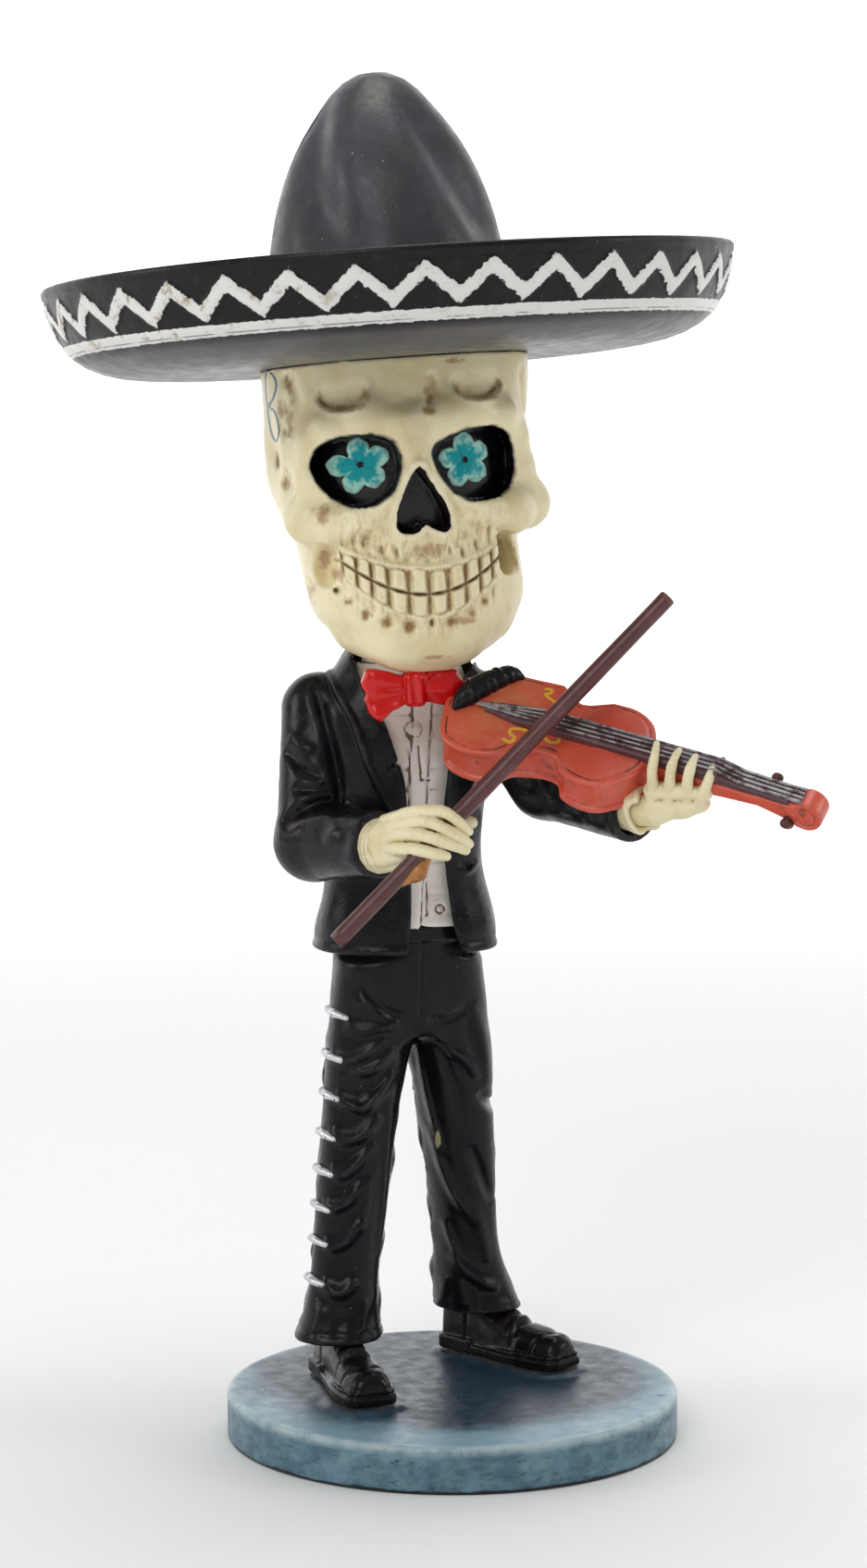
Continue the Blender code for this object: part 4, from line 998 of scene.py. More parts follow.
def shirt_field(p):
    """The shirt's front with its placket, ruffles and collar."""
    x, y, z = p
    body = stack(p, [(h, cx, cy, w - 1.35, d - 1.35) for h, cx, cy, w, d in JACKET[1:]], CHEST_TURN, 2.3)
    body = within(body, 67.6 - z, 0.3)
    middle = -4.3 + 0.05 * (z - 90.0)
    placket = 0.28 * grade(1.15, 0.95, np.abs(x - middle)) * (y < 4.0)
    pleats = 0.05 * np.sin(
        2.6 * z + 0.8 * np.sin(1.9 * z)
    ) * grade(1.3, 1.6, np.abs(x - middle)) * (y < 4.0)
    line, _, _ = trace(x, z, np.array(((-4.45, 92.0), (-4.2, 87.6), (-3.0, 87.4))))
    ring = np.hypot(x + 5.1, z - 94.3)
    button = 0.32 * grade(0.62, 0.5, ring) + 0.3 * hump(ring - 0.72, 0.25)
    slit = 0.32 * hump(line, 0.2)
    low_ring = np.hypot(x + 1.7, z - 70.4)
    lower = 0.3 * hump(low_ring - 0.5, 0.3) + 0.3 * hump(x + 3.4, 0.22) * grade(74.5, 73.0, z) * (z > 69.5)
    neck = rod(p, (-6.0, 5.2, 99.0), (-6.3, 5.4, 108.8), 6.0, 5.9)
    neck = np.maximum(neck, z - 107.4 - 0.1 * x)
    band = 0.3 * hump(z - 103.4, 0.3)
    body = within(body, z - 102.6, 0.3)
    body = body - placket - pleats - button * (y < 2) + slit * (y < 2) + lower * (y < 2)
    return join(body, neck + band, 0.5) - 0.05 * ripple(p, 2.0, 51)


def cuffs_field(p):
    """Both shirt cuffs: a rolled band with two stitch lines on the right, a torn-looking one on the left."""
    wrist, elbow = np.array(RIGHT_WRIST), np.array(RIGHT_ELBOW)
    along = (wrist - elbow) / np.linalg.norm(wrist - elbow)
    past = ((p - column(wrist)) * column(along)).sum(0)
    band = rod(p, wrist - along * 2.0, wrist + along * 3.4, CUFF_RADIUS, CUFF_RADIUS - 0.5)
    band = within(band, past - 1.9 - 0.3 * np.sin(1.7 * p[2]), 0.7)
    right = band + 0.3 * hump(past - 0.35, 0.2) + 0.3 * hump(past - 0.95, 0.2)
    wrist, elbow = np.array(LEFT_WRIST), np.array(LEFT_ELBOW)
    along = (wrist - elbow) / np.linalg.norm(wrist - elbow)
    past = ((p - column(wrist)) * column(along)).sum(0)
    wave = 0.6 * np.sin(1.7 * p[0] + 1.3 * p[2])
    lift = np.array((0.0, 0.0, 0.35))
    left = rod(
        p, wrist + lift - along * 2.0, wrist + lift + along * 2.6, CUFF_RADIUS - 0.55, CUFF_RADIUS - 0.5,
    )
    left = within(left, past - 1.9 - wave, 0.4)
    left = cut(left, rod(p, wrist + lift + along * 0.8, wrist + lift + along * 5.0, 2.35, 2.6), 0.3)
    return join(right, left, 0.1) - 0.12 * ripple(p, 2.6, 61)


TIE_CENTRE = (-5.05, -8.7, 100.2)


def tie_field(p):
    """A knot between two flared wings, creased towards the knot."""
    c, s = math.cos(CHEST_TURN), math.sin(CHEST_TURN)
    dx, dy, z = p[0] - TIE_CENTRE[0], p[1] - TIE_CENTRE[1], p[2] - TIE_CENTRE[2]
    x, y = dx * c + dy * s, dy * c - dx * s
    q = np.stack((x, y, z))
    made = None
    for side, reach, low in (
        (-1, 6.7, (1.3, 2.0, 2.5, 4.0, 3.0, 1.2)), (1, 6.2, (1.3, 1.9, 2.3, 2.6, 2.5, 1.6)),
    ):
        out = side * x
        share = np.clip(out / reach, 0.0, 1.0)
        upper = np.interp(share, (0.0, 0.25, 0.5, 0.8, 1.0), (1.3, 2.0, 2.4, 2.7, 2.4))
        lower = -np.interp(share, (0.0, 0.25, 0.45, 0.68, 0.88, 1.0), low)
        thick = np.interp(share, (0.0, 0.3, 0.8, 1.0), (0.9, 1.35, 1.25, 0.85))
        flat = np.maximum(np.maximum(z - upper, lower - z), out - reach - 0.25 * np.sin(2.2 * z))
        wing = within(flat, np.abs(y) - thick, 0.7)
        wing = np.maximum(wing, -out - 0.5)
        fan = np.arctan2(z, out + 1.6)
        wing = wing - 0.30 * np.sin(9.0 * fan + 1.0 + side) * grade(0.6, 2.4, out) * grade(
            reach + 1.0, reach - 1.6, out,
        )
        made = wing if made is None else join(made, wing, 0.5)
    knot = box(q, (0.0, -0.5, 0.0), (3.0, 3.0, 4.6), rounding=0.9)
    knot = knot - 0.16 * np.sin(4.4 * x + 0.5 * z) * grade(2.5, 1.0, np.abs(z))
    return join(made, knot, 0.2) - 0.05 * ripple(p, 2.2, 71)


def make_clothes():
    paint = black_paint("jacket_black")
    paint.layer((0.022, 0.028, 0.033), paint.step(paint.noise(6.0, 3.0), 0.5, 0.75, 0.0, 0.5))
    points, quads = sculpt(jacket_field, (-25, -21, 63), (28, 16, 108), GRAIN["jacket"])
    piece("jacket", points, quads, paint.material, "suit_paint", ["figure"])

    shirt = Paint("shirt_white", (0.80, 0.76, 0.69), 0.5)
    shirt.layer((0.66, 0.56, 0.46), shirt.step(shirt.noise(2.5), 0.5, 0.72, 0.0, 0.45))
    # Dark brown in the creases, partly brown wash and partly painted shade.
    shirt.layer((0.10, 0.06, 0.035), shirt.step(shirt.value("proud"), -0.008, -0.05, 0.0, 0.95))
    # Painted highlight: a paler white on what stands proud.
    shirt.layer((0.82, 0.78, 0.73), shirt.step(shirt.value("proud"), 0.01, 0.06, 0.0, 0.7))
    shirt.relief(shirt.noise(0.6, 3.0), 0.06)
    points, quads = sculpt(shirt_field, (-18, -6, 67), (5, 14, 109), GRAIN["shirt"])
    piece("shirt", points, quads, shirt.material, "shirt_paint", ["figure"])
    points, quads = sculpt(cuffs_field, (-16, -22, 75), (29, -8, 92), GRAIN["cuffs"])
    piece("cuffs", points, quads, bone_paint("cuff_cream").material, "shirt_paint", ["figure"])

    red = Paint("tie_red", (0.58, 0.004, 0.004), 0.22, 0.2)
    red.shader.inputs["Specular IOR Level"].default_value = 0.3
    # Painted shade: a darker red in the creases.
    red.layer((0.30, 0.002, 0.002), red.step(red.value("proud"), -0.01, -0.08, 0.0, 0.8))
    # Painted highlight: a light red in patches on what stands proud.
    red.layer(
        (0.86, 0.10, 0.09),
        red.times(red.step(red.value("proud"), 0.04, 0.12, 0.0, 0.35), red.step(red.noise(1.5), 0.4, 0.6)),
    )
    red.relief(red.noise(1.0, 2.0), 0.05)
    points, quads = sculpt(tie_field, (-13, -12.5, 94.5), (4, -3.5, 105.5), GRAIN["bow_tie"])
    piece("bow_tie", points, quads, red.material, "tie_paint", ["figure"])


# Hands


def finger(p, points, start_radius, end_radius):
    """A bony finger bent along the points."""
    line = smooth_line(points, 3)
    share = np.linspace(0.0, 1.0, len(line))
    radii = start_radius + (end_radius - start_radius) * share ** 1.5
    return chain(p, [tuple(spot) for spot in line], tuple(radii), 0.08)


def right_hand_field(p):
    """Four fingers laid over the bow, with the palm and thumb behind it."""
    palm = ((-9.6, -14.0, 80.8), (-8.2, -16.2, 81.8), (-5.6, -18.7, 82.9), (-3.0, -21.0, 83.4))
    made = chain(p, palm, (2.6, 2.3, 1.9, 1.4), 1.0)
    made = join(made, rod(p, (-9.0, -15.9, 79.2), (-6.4, -19.4, 80.0), 1.5, 1.0), 0.6)
    thumb = chain(p, ((-4.2, -20.6, 84.2), (0.0, -21.0, 84.7), (2.3, -20.6, 84.1)), (1.2, 0.95, 0.75), 0.4)
    made = join(made, thumb, 0.4)
    for points in RIGHT_FINGERS:
        made = join(made, finger(p, points, 0.88, 0.62), 0.12)
    stick = rod(p, tuple(BOW_LOW), tuple(BOW_HIGH), BOW_RADIUS, BOW_RADIUS)
    return cut(made, stick, 0.1) - 0.10 * ripple(p, 2.1, 81)


def left_hand_field(p):
    """A palm under the violin's neck and four long fingers round it, joined by a web."""
    made = chain(
        p, (LEFT_WRIST, (25.6, -18.4, 85.6), (29.0, -19.8, 86.2), (31.2, -20.6, 86.6)),
        (2.2, 1.9, 1.5, 1.2), 0.8,
    )
    web = chain(p, ((25.0, -20.0, 88.2), (28.4, -21.4, 88.2), (31.6, -22.4, 88.0)), (1.15, 1.05, 0.9), 0.4)
    made = join(made, web, 0.4)
    for points in LEFT_FINGERS:
        made = join(made, finger(p, points, 0.80, 0.42), 0.12)
    return made - 0.08 * ripple(p, 2.4, 91)


def make_hands():
    paint = bone_paint("hand_bone").material
    points, quads = sculpt(right_hand_field, (-13, -27.5, 77), (5, -12, 88), GRAIN["right_hand"])
    piece("right_hand", points, quads, paint, "bone_paint", ["figure"])
    points, quads = sculpt(left_hand_field, (20, -26.5, 82), (35, -12.5, 96), GRAIN["left_hand"])
    piece("left_hand", points, quads, paint, "bone_paint", ["figure"])


# Skull


LEFT_SOCKET = (
    (-13.0, 5.0), (-12.2, 7.1), (-10.4, 8.2), (-7.2, 8.5), (-4.0, 8.0), (-2.6, 6.6), (-2.3, 4.2),
    (-3.3, 1.6),
    (-5.3, 0.0), (-7.8, -0.5), (-10.2, 0.7), (-12.0, 2.7),
)
RIGHT_SOCKET = (
    (2.1, 5.7), (3.6, 7.2), (6.2, 8.1), (8.7, 8.5), (11.1, 8.2), (12.5, 6.7), (13.0, 3.7), (12.5, 1.3),
    (10.5, -0.2), (7.7, -0.8), (5.1, 0.2), (3.1, 2.7),
)
NOSE = (
    (-0.2, 4.1), (-1.6, 1.8), (-2.8, -1.0), (-3.2, -3.0), (-2.6, -4.1), (-1.2, -4.3), (0.0, -3.6),
    (0.5, -3.2),
    (1.2, -3.7), (2.6, -4.3), (3.6, -3.8), (3.6, -2.4), (3.0, -0.6), (1.6, 2.0),
)
BITE_LEVEL = -12.1
BITE_CURVE = 0.044
TOOTH_EDGES = np.array(
    (-12.6, -11.4, -10.1, -8.6, -6.9, -4.9, -2.4, 0.2, 2.7, 5.1, 7.1, 8.8, 10.2, 11.4, 12.4)
)
UPPER_PITS = ((-5.3, -6.0), (-3.5, -6.4), (3.3, -6.8), (4.9, -7.2), (-7.4, -5.2), (6.9, -6.4))
LOWER_PITS = (
    (-7.7, -14.2, 0.55, 0.85), (-5.3, -15.3, 0.6, 0.75), (-2.5, -16.1, 0.9, 0.85), (3.2, -15.9, 0.8, 0.8),
    (5.8, -15.0, 0.55, 0.7), (-10.8, -10.9, 0.5, 0.5), (-9.5, -12.4, 0.55, 0.5), (0.4, -15.6, 0.35, 0.6),
    (7.6, -13.6, 0.45, 0.6),
)
# The mouth's part of the face is carved finer: its middle, half width and half height.
MOUTH = (-0.2, -10.6, 12.2, 8.0)
# How far a place on the head shifts sideways in the picture with depth.
SLANT = 0.22
# On the temple, drawn across the slant: two thin loops, and worn pits (centre, radii, depth).
TEMPLE_LOOPS = (
    ((-16.9, 15.1), (-16.7, 17.5), (-15.8, 17.8), (-14.9, 16.3), (-15.6, 14.4), (-16.7, 13.7)),
    ((-16.7, 13.4), (-15.4, 12.5), (-14.9, 10.2), (-15.6, 8.9), (-16.4, 9.7), (-16.7, 12.0)),
)
TEMPLE_PITS = (
    (-14.3, 3.5, 0.9, 1.5, 0.9), (-15.9, 6.3, 0.4, 1.2, 0.5), (-13.6, 13.4, 0.6, 1.2, 0.4),
    (-13.4, 16.6, 0.5, 1.0, 0.4),
    (-14.0, 9.9, 0.5, 1.2, 0.4),
)


def bite(x):
    return BITE_LEVEL + BITE_CURVE * (x - 0.3) ** 2


def tooth_place(x):
    """How far across its tooth a place is, from 0 at a gap to 0.5 in its middle, and which tooth it is."""
    count = np.interp(x, TOOTH_EDGES, np.arange(len(TOOTH_EDGES)))
    tooth = np.floor(count)
    return 0.5 - np.abs(count - tooth - 0.5), tooth


def teeth_relief(x, z):
    """How far the teeth and gums stand out, and where the teeth are."""
    v = z - bite(x)
    share, tooth = tooth_place(x)
    wide = grade(10.9, 9.4, np.abs(x + 0.2))
    gap = 0.05 + 0.022 * np.abs(v)
    dome = grade(gap - 0.02, gap + 0.22, share) ** 0.8
    top = 2.55 - 0.016 * x * x + 0.5 * np.sin(math.pi * share) + 0.15 * np.sin(2.4 * tooth)
    bottom = -2.35 + 0.010 * x * x - 0.4 * np.sin(math.pi * share) + 0.15 * np.sin(1.9 * tooth + 1.0)
    upper = grade(0.10, 0.40, v) * grade(top + 0.15, top - 0.25, v)
    lower = grade(-0.10, -0.40, v) * grade(bottom - 0.15, bottom + 0.25, v)
    rows = upper + lower
    proud = (0.95 + 0.1 * np.sin(2.7 * tooth)) * dome * rows + 0.15 * upper * dome
    ledge_top = 3.35 - 0.016 * x * x
    ledge_bottom = -3.1 + 0.010 * x * x
    proud += 0.8 * hump(v - ledge_top, 0.85) + 0.5 * hump(v - ledge_bottom, 0.8)
    roots = grade(0.05, 0.3, share) * (
        0.28 * grade(ledge_top, ledge_top + 0.9, v) * grade(6.6, 4.2, v)
        + 0.3 * grade(ledge_bottom, ledge_bottom - 0.8, v) * grade(-6.2, -4.2, v)
    )
    in_row = grade(bottom - 0.5, bottom, v) * grade(top + 0.5, top, v)
    return (proud + roots) * wide, in_row * wide


def skull_base(p):
    return stack(p, SKULL, 0.0, SKULL_POWER, 0.8)


# Bones of the face on its wider side: points along each, and their radii.
BROW = ((1.6, -15.0, 9.9), (7.5, -14.6, 10.6), (11.6, -12.4, 9.8), (13.4, -10.0, 7.6))
BROW_RADII = (2.0, 2.2, 2.1, 1.7)
CHEEK = (
    (14.0, 4.0, 2.6), (15.0, -2.0, 0.6), (14.9, -7.4, -1.5), (12.4, -11.2, -2.3), (8.4, -14.0, -1.9),
    (5.6, -15.6, 0.4),
)
CHEEK_RADII = (1.8, 2.4, 3.0, 2.7, 2.0, 1.5)
ORBIT = ((14.9, -7.7, -0.8), (14.3, -9.1, 3.4), (13.4, -10.0, 7.6))
ORBIT_RADII = (2.6, 1.9, 1.7)
NARROW_SIDE = 0.9


def both_sides(p, points, radii, blend):
    """A bone on either side of the face, which is a little narrower on its left in the picture."""
    wide = chain(p, points, radii, blend)
    narrow = chain(p, [(0.3 - NARROW_SIDE * x, y, z) for x, y, z in points], radii, blend)
    return np.minimum(wide, narrow)


def skull_body(p):
    """Cranium, brow, cheekbones, jaws and chin, before the hollows."""
    body = skull_base(p)
    body = join(body, both_sides(p, BROW, BROW_RADII, 1.5), 2.2)
    body = join(body, both_sides(p, CHEEK, CHEEK_RADII, 1.5), 1.0)
    body = join(body, both_sides(p, ORBIT, ORBIT_RADII, 1.0), 1.6)
    bridge = rod(p, (-0.1, -15.6, 9.6), (-0.2, -17.2, 4.6), 2.2, 1.3)
    body = join(body, bridge, 1.6)
    dental = ball(p, (0.3, -7.9, -9.0), (11.9, 9.2, 8.8))
    body = join(body, dental, 1.6)
    chin = chain(
        p, ((-8.4, -6.8, -16.6), (-3.4, -11.4, -18.2), (4.0, -11.4, -18.2), (9.4, -6.8, -16.6)),
        (2.4, 3.0, 3.0, 2.4), 1.5,
    )
    body = join(body, chin, 2.2)
    rim = ring_distance(p[0], p[2], smooth_line(NOSE, 3, True))
    front = grade(-9.0, -12.0, p[1])
    return within(body - 0.5 * hump(rim - 0.35, 0.9) * front, p[2] - 18.15, 0.1)


def skull_marks(p):
    """Shallow relief on the front and sides of the skull; positive stands out."""
    x, y, z = p
    front = grade(-6.0, -9.0, y)
    teeth, _ = teeth_relief(x, z)
    made = teeth * grade(-7.5, -9.5, y)
    for px, pz in UPPER_PITS:
        made -= 0.6 * np.exp(-(((x - px) / 0.30) ** 2 + ((z - pz) / 0.65) ** 2)) * front
    for px, pz, a, b in LOWER_PITS:
        made -= 0.9 * np.exp(-(((x - px) / a) ** 2 + ((z - pz) / b) ** 2)) * front
    for cx, cz, turn, a, b in ((-8.4, 14.2, 0.1, 3.1, 2.4), (8.7, 14.4, 0.0, 3.4, 2.4)):
        du, dv = (x - cx) / a, (z - cz - turn * (x - cx)) / b
        dish = du * du + dv * dv
        low = grade(0.8, -0.75, dv)
        made -= 0.8 * grade(1.15, 0.75, dish) * low * front
        made += 0.22 * hump(np.sqrt(dish) - 1.12, 0.25) * low * front
    grooves = (
        (((2.6, 15.9), (3.0, 14.0), (2.2, 12.6), (1.4, 11.0)), 0.9, -0.5, 0.6),
        (((-3.6, 12.4), (-1.6, 12.0), (0.4, 12.8)), 1.2, -0.25, 0.0),
        (((-8.6, -3.8), (-6.6, -4.6), (-5.0, -6.6)), 0.8, -0.4, 0.0),
        (((-14.4, -5.2), (-12.4, -6.2), (-10.2, -5.9), (-8.4, -4.6)), 0.9, -0.55, 0.5),
        (((4.6, -4.4), (6.0, -5.0), (6.9, -6.4)), 0.7, -0.4, 0.0),
        (((-9.9, -5.4), (-9.6, -8.4), (-9.4, -10.4)), 0.4, -0.3, 0.0),
        (((-8.4, -5.6), (-8.0, -8.4)), 0.4, -0.25, 0.0),
    )
    made += folds(x, z, grooves) * front
    side = grade(-11.4, -12.6, x) * grade(9.0, 5.0, y) * grade(-13.5, -12.0, y)
    slanted = x - SLANT * y
    valley = (((-13.2, 17.6), (-12.4, 15.5), (-12.0, 13.0), (-12.8, 10.8), (-13.6, 9.2)), 1.0, -0.6, 0.4)
    made += folds(slanted, z, (valley,)) * side
    for pu, pz, a, b, depth in TEMPLE_PITS:
        made -= depth * np.exp(-(((slanted - pu) / a) ** 2 + ((z - pz) / b) ** 2)) * side
    far = grade(13.0, 14.2, x) * grade(-9.0, -6.0, y)
    far_marks = ((((-7.6, 16.4), (-8.2, 13.6), (-7.4, 11.0), (-6.2, 9.0)), 1.1, -0.6, 0.8),)
    made += folds(y, z, far_marks) * far
    suture = 0.16 * hump(y - 9.0 - 0.7 * np.sin(2.1 * z) - 0.3 * np.sin(5.0 * z), 0.35) * (np.abs(x) > 6)
    return made - suture + 0.07 * ripple(p, 0.8, 101) + 0.03 * ripple(p, 2.4, 103)


def skull_field(p):
    x, y, z = p
    base = skull_base(p)
    body = skull_body(p)
    front = y + 4.0
    for ring in (LEFT_SOCKET, RIGHT_SOCKET):
        hole = ring_distance(x, z, smooth_line(ring, 3, True))
        body = cut(body, np.maximum(np.maximum(hole, -(base + SOCKET_DEPTH)), front), 0.7)
    nose = ring_distance(x, z, smooth_line(NOSE, 3, True))
    body = cut(body, np.maximum(np.maximum(nose + 0.1, -(base + 3.4)), front), 0.35)
    flat = np.stack((np.abs(x + 0.6), y, z))
    body = cut(body, ball(flat, (11.7, -11.4, -7.7), (2.0, 5.0, 2.8)), 0.7)
    body = cut(body, ball(flat, (19.2, -1.0, 6.6), (3.6, 5.2, 6.4)), 2.0)
    body = cut(body, rod(p, (0.3, 2.4, -32.0), (0.3, 2.4, -16.2), 6.6, 6.6), 0.5)
    return body - skull_marks(p)


def mouth_share(x, y, z):
    """Distance outside the part of the face that is carved finer."""
    cx, cz, a, b = MOUTH
    return np.maximum(np.maximum(np.abs(x - cx) - a, np.abs(z - cz) - b), y + 7.5)


def bone_field(p):
    """The skull, sunk behind the finer carving of the mouth."""
    return skull_field(p) + 0.5 * grade(-1.0, -2.0, mouth_share(*p))


def mouth_field(p):
    """A plate with the teeth and gums, that dives into the skull at its edge."""
    plate = skull_field(p) - 0.02 + 0.4 * grade(-0.4, 1.2, mouth_share(*p))
    return np.maximum(plate, -(skull_base(p) + 2.6))


def skull_paint():
    paint = bone_paint("bone_ivory")
    streaks = paint.step(paint.noise(1.0, 4.0, 0.65, (1.5, 1.0, 0.5)), 0.46, 0.66)
    wash = paint.times(paint.value("wash"), streaks)
    paint.layer((0.42, 0.26, 0.11), paint.times(wash, 0.65))
    patchy = paint.step(paint.noise(0.8, 3.0), 0.3, 0.6, 0.6, 1.0)
    # Dark brown between the teeth, partly wash and partly painted shade.
    gaps = paint.times(paint.step(paint.value("gap"), 0.12, 0.04, 0.0, 0.9), paint.value("in_teeth"))
    paint.layer((0.20, 0.105, 0.04), paint.times(gaps, patchy))
    # A dark line where the rows of teeth meet, partly wash and partly painted shade.
    bite_line = paint.times(paint.line("bite", 0.08, 0.16), paint.value("smile"))
    paint.layer((0.12, 0.06, 0.025), paint.times(bite_line, patchy))
    # Brown stains, with painted shade in some hollows of the face and in the temple pits.
    blotch = paint.step(paint.noise(1.3), 0.25, 0.75, -0.45, 0.45)
    paint.layer(
        (0.36, 0.21, 0.085), paint.step(paint.plus(paint.value("dark_patch"), blotch), 1.0, 0.15, 0.0, 0.8),
    )
    paint.layer((0.02, 0.10, 0.12), paint.times(paint.line("loops", 0.14, 0.08), paint.value("loop_side")))
    edge = paint.step(paint.noise(1.5, 2.0), 0.3, 0.7, -0.10, 0.10)
    socket = paint.plus(paint.value("socket"), edge)
    paint.layer((0.12, 0.075, 0.035), paint.step(socket, 0.55, 0.15, 0.0, 0.7))
    ink = paint.step(socket, 0.22, 0.06)
    paint.layer((0.0035, 0.0035, 0.004), ink)
    nose = paint.step(paint.plus(paint.value("nose"), edge), 0.14, 0.0)
    paint.layer((0.008, 0.005, 0.004), nose)
    inked = paint.most(ink, nose)
    paint.gloss(paint.step(inked, 0.3, 0.7, 0.42, 0.22))
    paint.tree.links.new(paint.step(inked, 0.3, 0.7, 0.5, 0.22), paint.shader.inputs["Specular IOR Level"])
    return paint


# Brown stains on the face, some of them painted shade below the brow, under the cheekbones and on the chin:
# centre and radii.
STAINS_AND_SHADE = (
    (-12.2, -0.9, 1.3, 1.5), (-8.4, 12.2, 2.6, 0.7), (-11.0, 13.9, 0.6, 1.4), (-5.6, 13.6, 0.5, 1.2),
    (8.8, 12.4, 2.8, 0.7),
    (6.0, 13.8, 0.6, 1.2), (12.0, 14.2, 0.5, 1.2), (2.3, 13.4, 0.8, 1.7), (1.6, 11.0, 1.2, 0.9),
    (-11.6, -6.6, 0.9, 1.8), (-10.6, -8.8, 0.5, 1.2), (10.9, -7.0, 1.0, 2.2), (-2.5, -16.1, 1.3, 1.0),
    (0.6, -6.6, 2.8, 1.1),
    (4.0, -15.7, 2.6, 0.9), (13.0, 2.5, 0.7, 1.2), (6.2, 17.2, 1.6, 0.5), (0.8, -20.2, 2.2, 0.4),
    (-5.3, -15.3, 0.9, 0.8), (-7.7, -14.2, 0.8, 0.9), (-13.6, -11.0, 0.5, 2.4), (13.0, -9.5, 0.5, 2.2),
)
# And on the temple, across the slant.
TEMPLE_STAINS = (
    (-14.3, 3.4, 1.3, 1.9), (-15.9, 6.4, 0.5, 1.6), (-12.9, 15.4, 0.8, 2.8), (-13.2, 11.2, 0.9, 2.6),
    (-14.6, 12.4, 0.6, 2.0),
)


def skull_values(points):
    """What the skull's paint needs to know at each vertex."""
    x, y, z = points.T
    front = y < -4.0
    sockets = np.full(len(points), 9.0)
    for ring in (LEFT_SOCKET, RIGHT_SOCKET):
        sockets = np.minimum(sockets, ring_distance(x, z, smooth_line(ring, 5, True)))
    nose = ring_distance(x, z, smooth_line(NOSE, 5, True))
    base = in_chunks(skull_base, points.T.astype(np.float32))
    _, in_teeth = teeth_relief(x, z)
    stains_and_shade = np.full(len(points), 9.0)
    for cx, cz, a, b in STAINS_AND_SHADE:
        stains_and_shade = np.minimum(stains_and_shade, np.where(front, np.hypot((x - cx) / a, (z - cz) / b), 9.0))
    slanted = x - SLANT * y
    side = (x < -10.0) & (y < 9.0)
    for cu, cz, a, b in TEMPLE_STAINS:
        stains_and_shade = np.minimum(stains_and_shade, np.where(side, np.hypot((slanted - cu) / a, (z - cz) / b), 9.0))
    loops = np.full(len(points), 9.0)
    for ring in TEMPLE_LOOPS:
        loops = np.minimum(loops, np.abs(ring_distance(slanted, z, smooth_line(ring, 4, True))))
    wash = np.exp(-(((x + 0.2) / 10.5) ** 4 + ((z - bite(x) - 2.0) / 7.0) ** 4)) * grade(-6.0, -9.0, y)
    wash = wash * (1.0 - 0.8 * in_teeth) * (1.0 - 0.6 * hump(z - bite(x) - 3.3, 0.9))
    share, _ = tooth_place(x)
    return dict(
        gap=share, in_teeth=in_teeth * (y < -8.0), bite=z - bite(x), wash=wash,
        smile=grade(10.8, 9.6, np.abs(x + 0.2)) * (y < -8.0), dark_patch=stains_and_shade, loops=loops,
        loop_side=side.astype(float),
        socket=np.where(front & (base < 1.2), sockets - 0.05, 9.0), nose=np.where(front, nose, 9.0),
    )


def make_skull(place):
    paint = skull_paint()
    cx, cz, a, b = MOUTH
    for name, field, low, high, fine, broad in (
        ("skull_bone", bone_field, (-20, -21, -24), (20.5, 23.5, 18.4), 2, 17),
        ("teeth", mouth_field, (cx - a - 1.5, -20, cz - b - 1.5), (cx + a + 1.5, -5, cz + b + 1.5), 5, 43),
    ):
        points, quads = sculpt(field, low, high, GRAIN[name])
        piece(
            name, points, quads, paint.material, "bone_paint", ["skull"], place, fine, broad,
            **skull_values(points),
        )


# Flowers: centre, and the centre of each petal.
FLOWERS = (
    ("left_flower", (-6.9, 4.95), ((-7.0, 7.2), (-4.4, 5.9), (-5.2, 3.2), (-7.9, 2.5), (-9.7, 5.0))),
    ("right_flower", (6.6, 4.6), ((6.6, 6.9), (8.8, 5.7), (8.2, 3.0), (5.5, 2.5), (4.3, 5.0))),
)
PETAL_RADIUS = 1.42
FLOWER_SHRINK = 0.92


def socket_floor(x, z):
    """The depth of a socket's floor at points (x, z)."""
    low = np.full(x.shape, -24.0, np.float32)
    high = np.full(x.shape, -4.0, np.float32)
    for _ in range(22):
        middle = (low + high) / 2
        outside = skull_base(np.stack((x, middle, z)).astype(np.float32)) + SOCKET_DEPTH > 0
        low = np.where(outside, middle, low)
        high = np.where(outside, high, middle)
    return (low + high) / 2


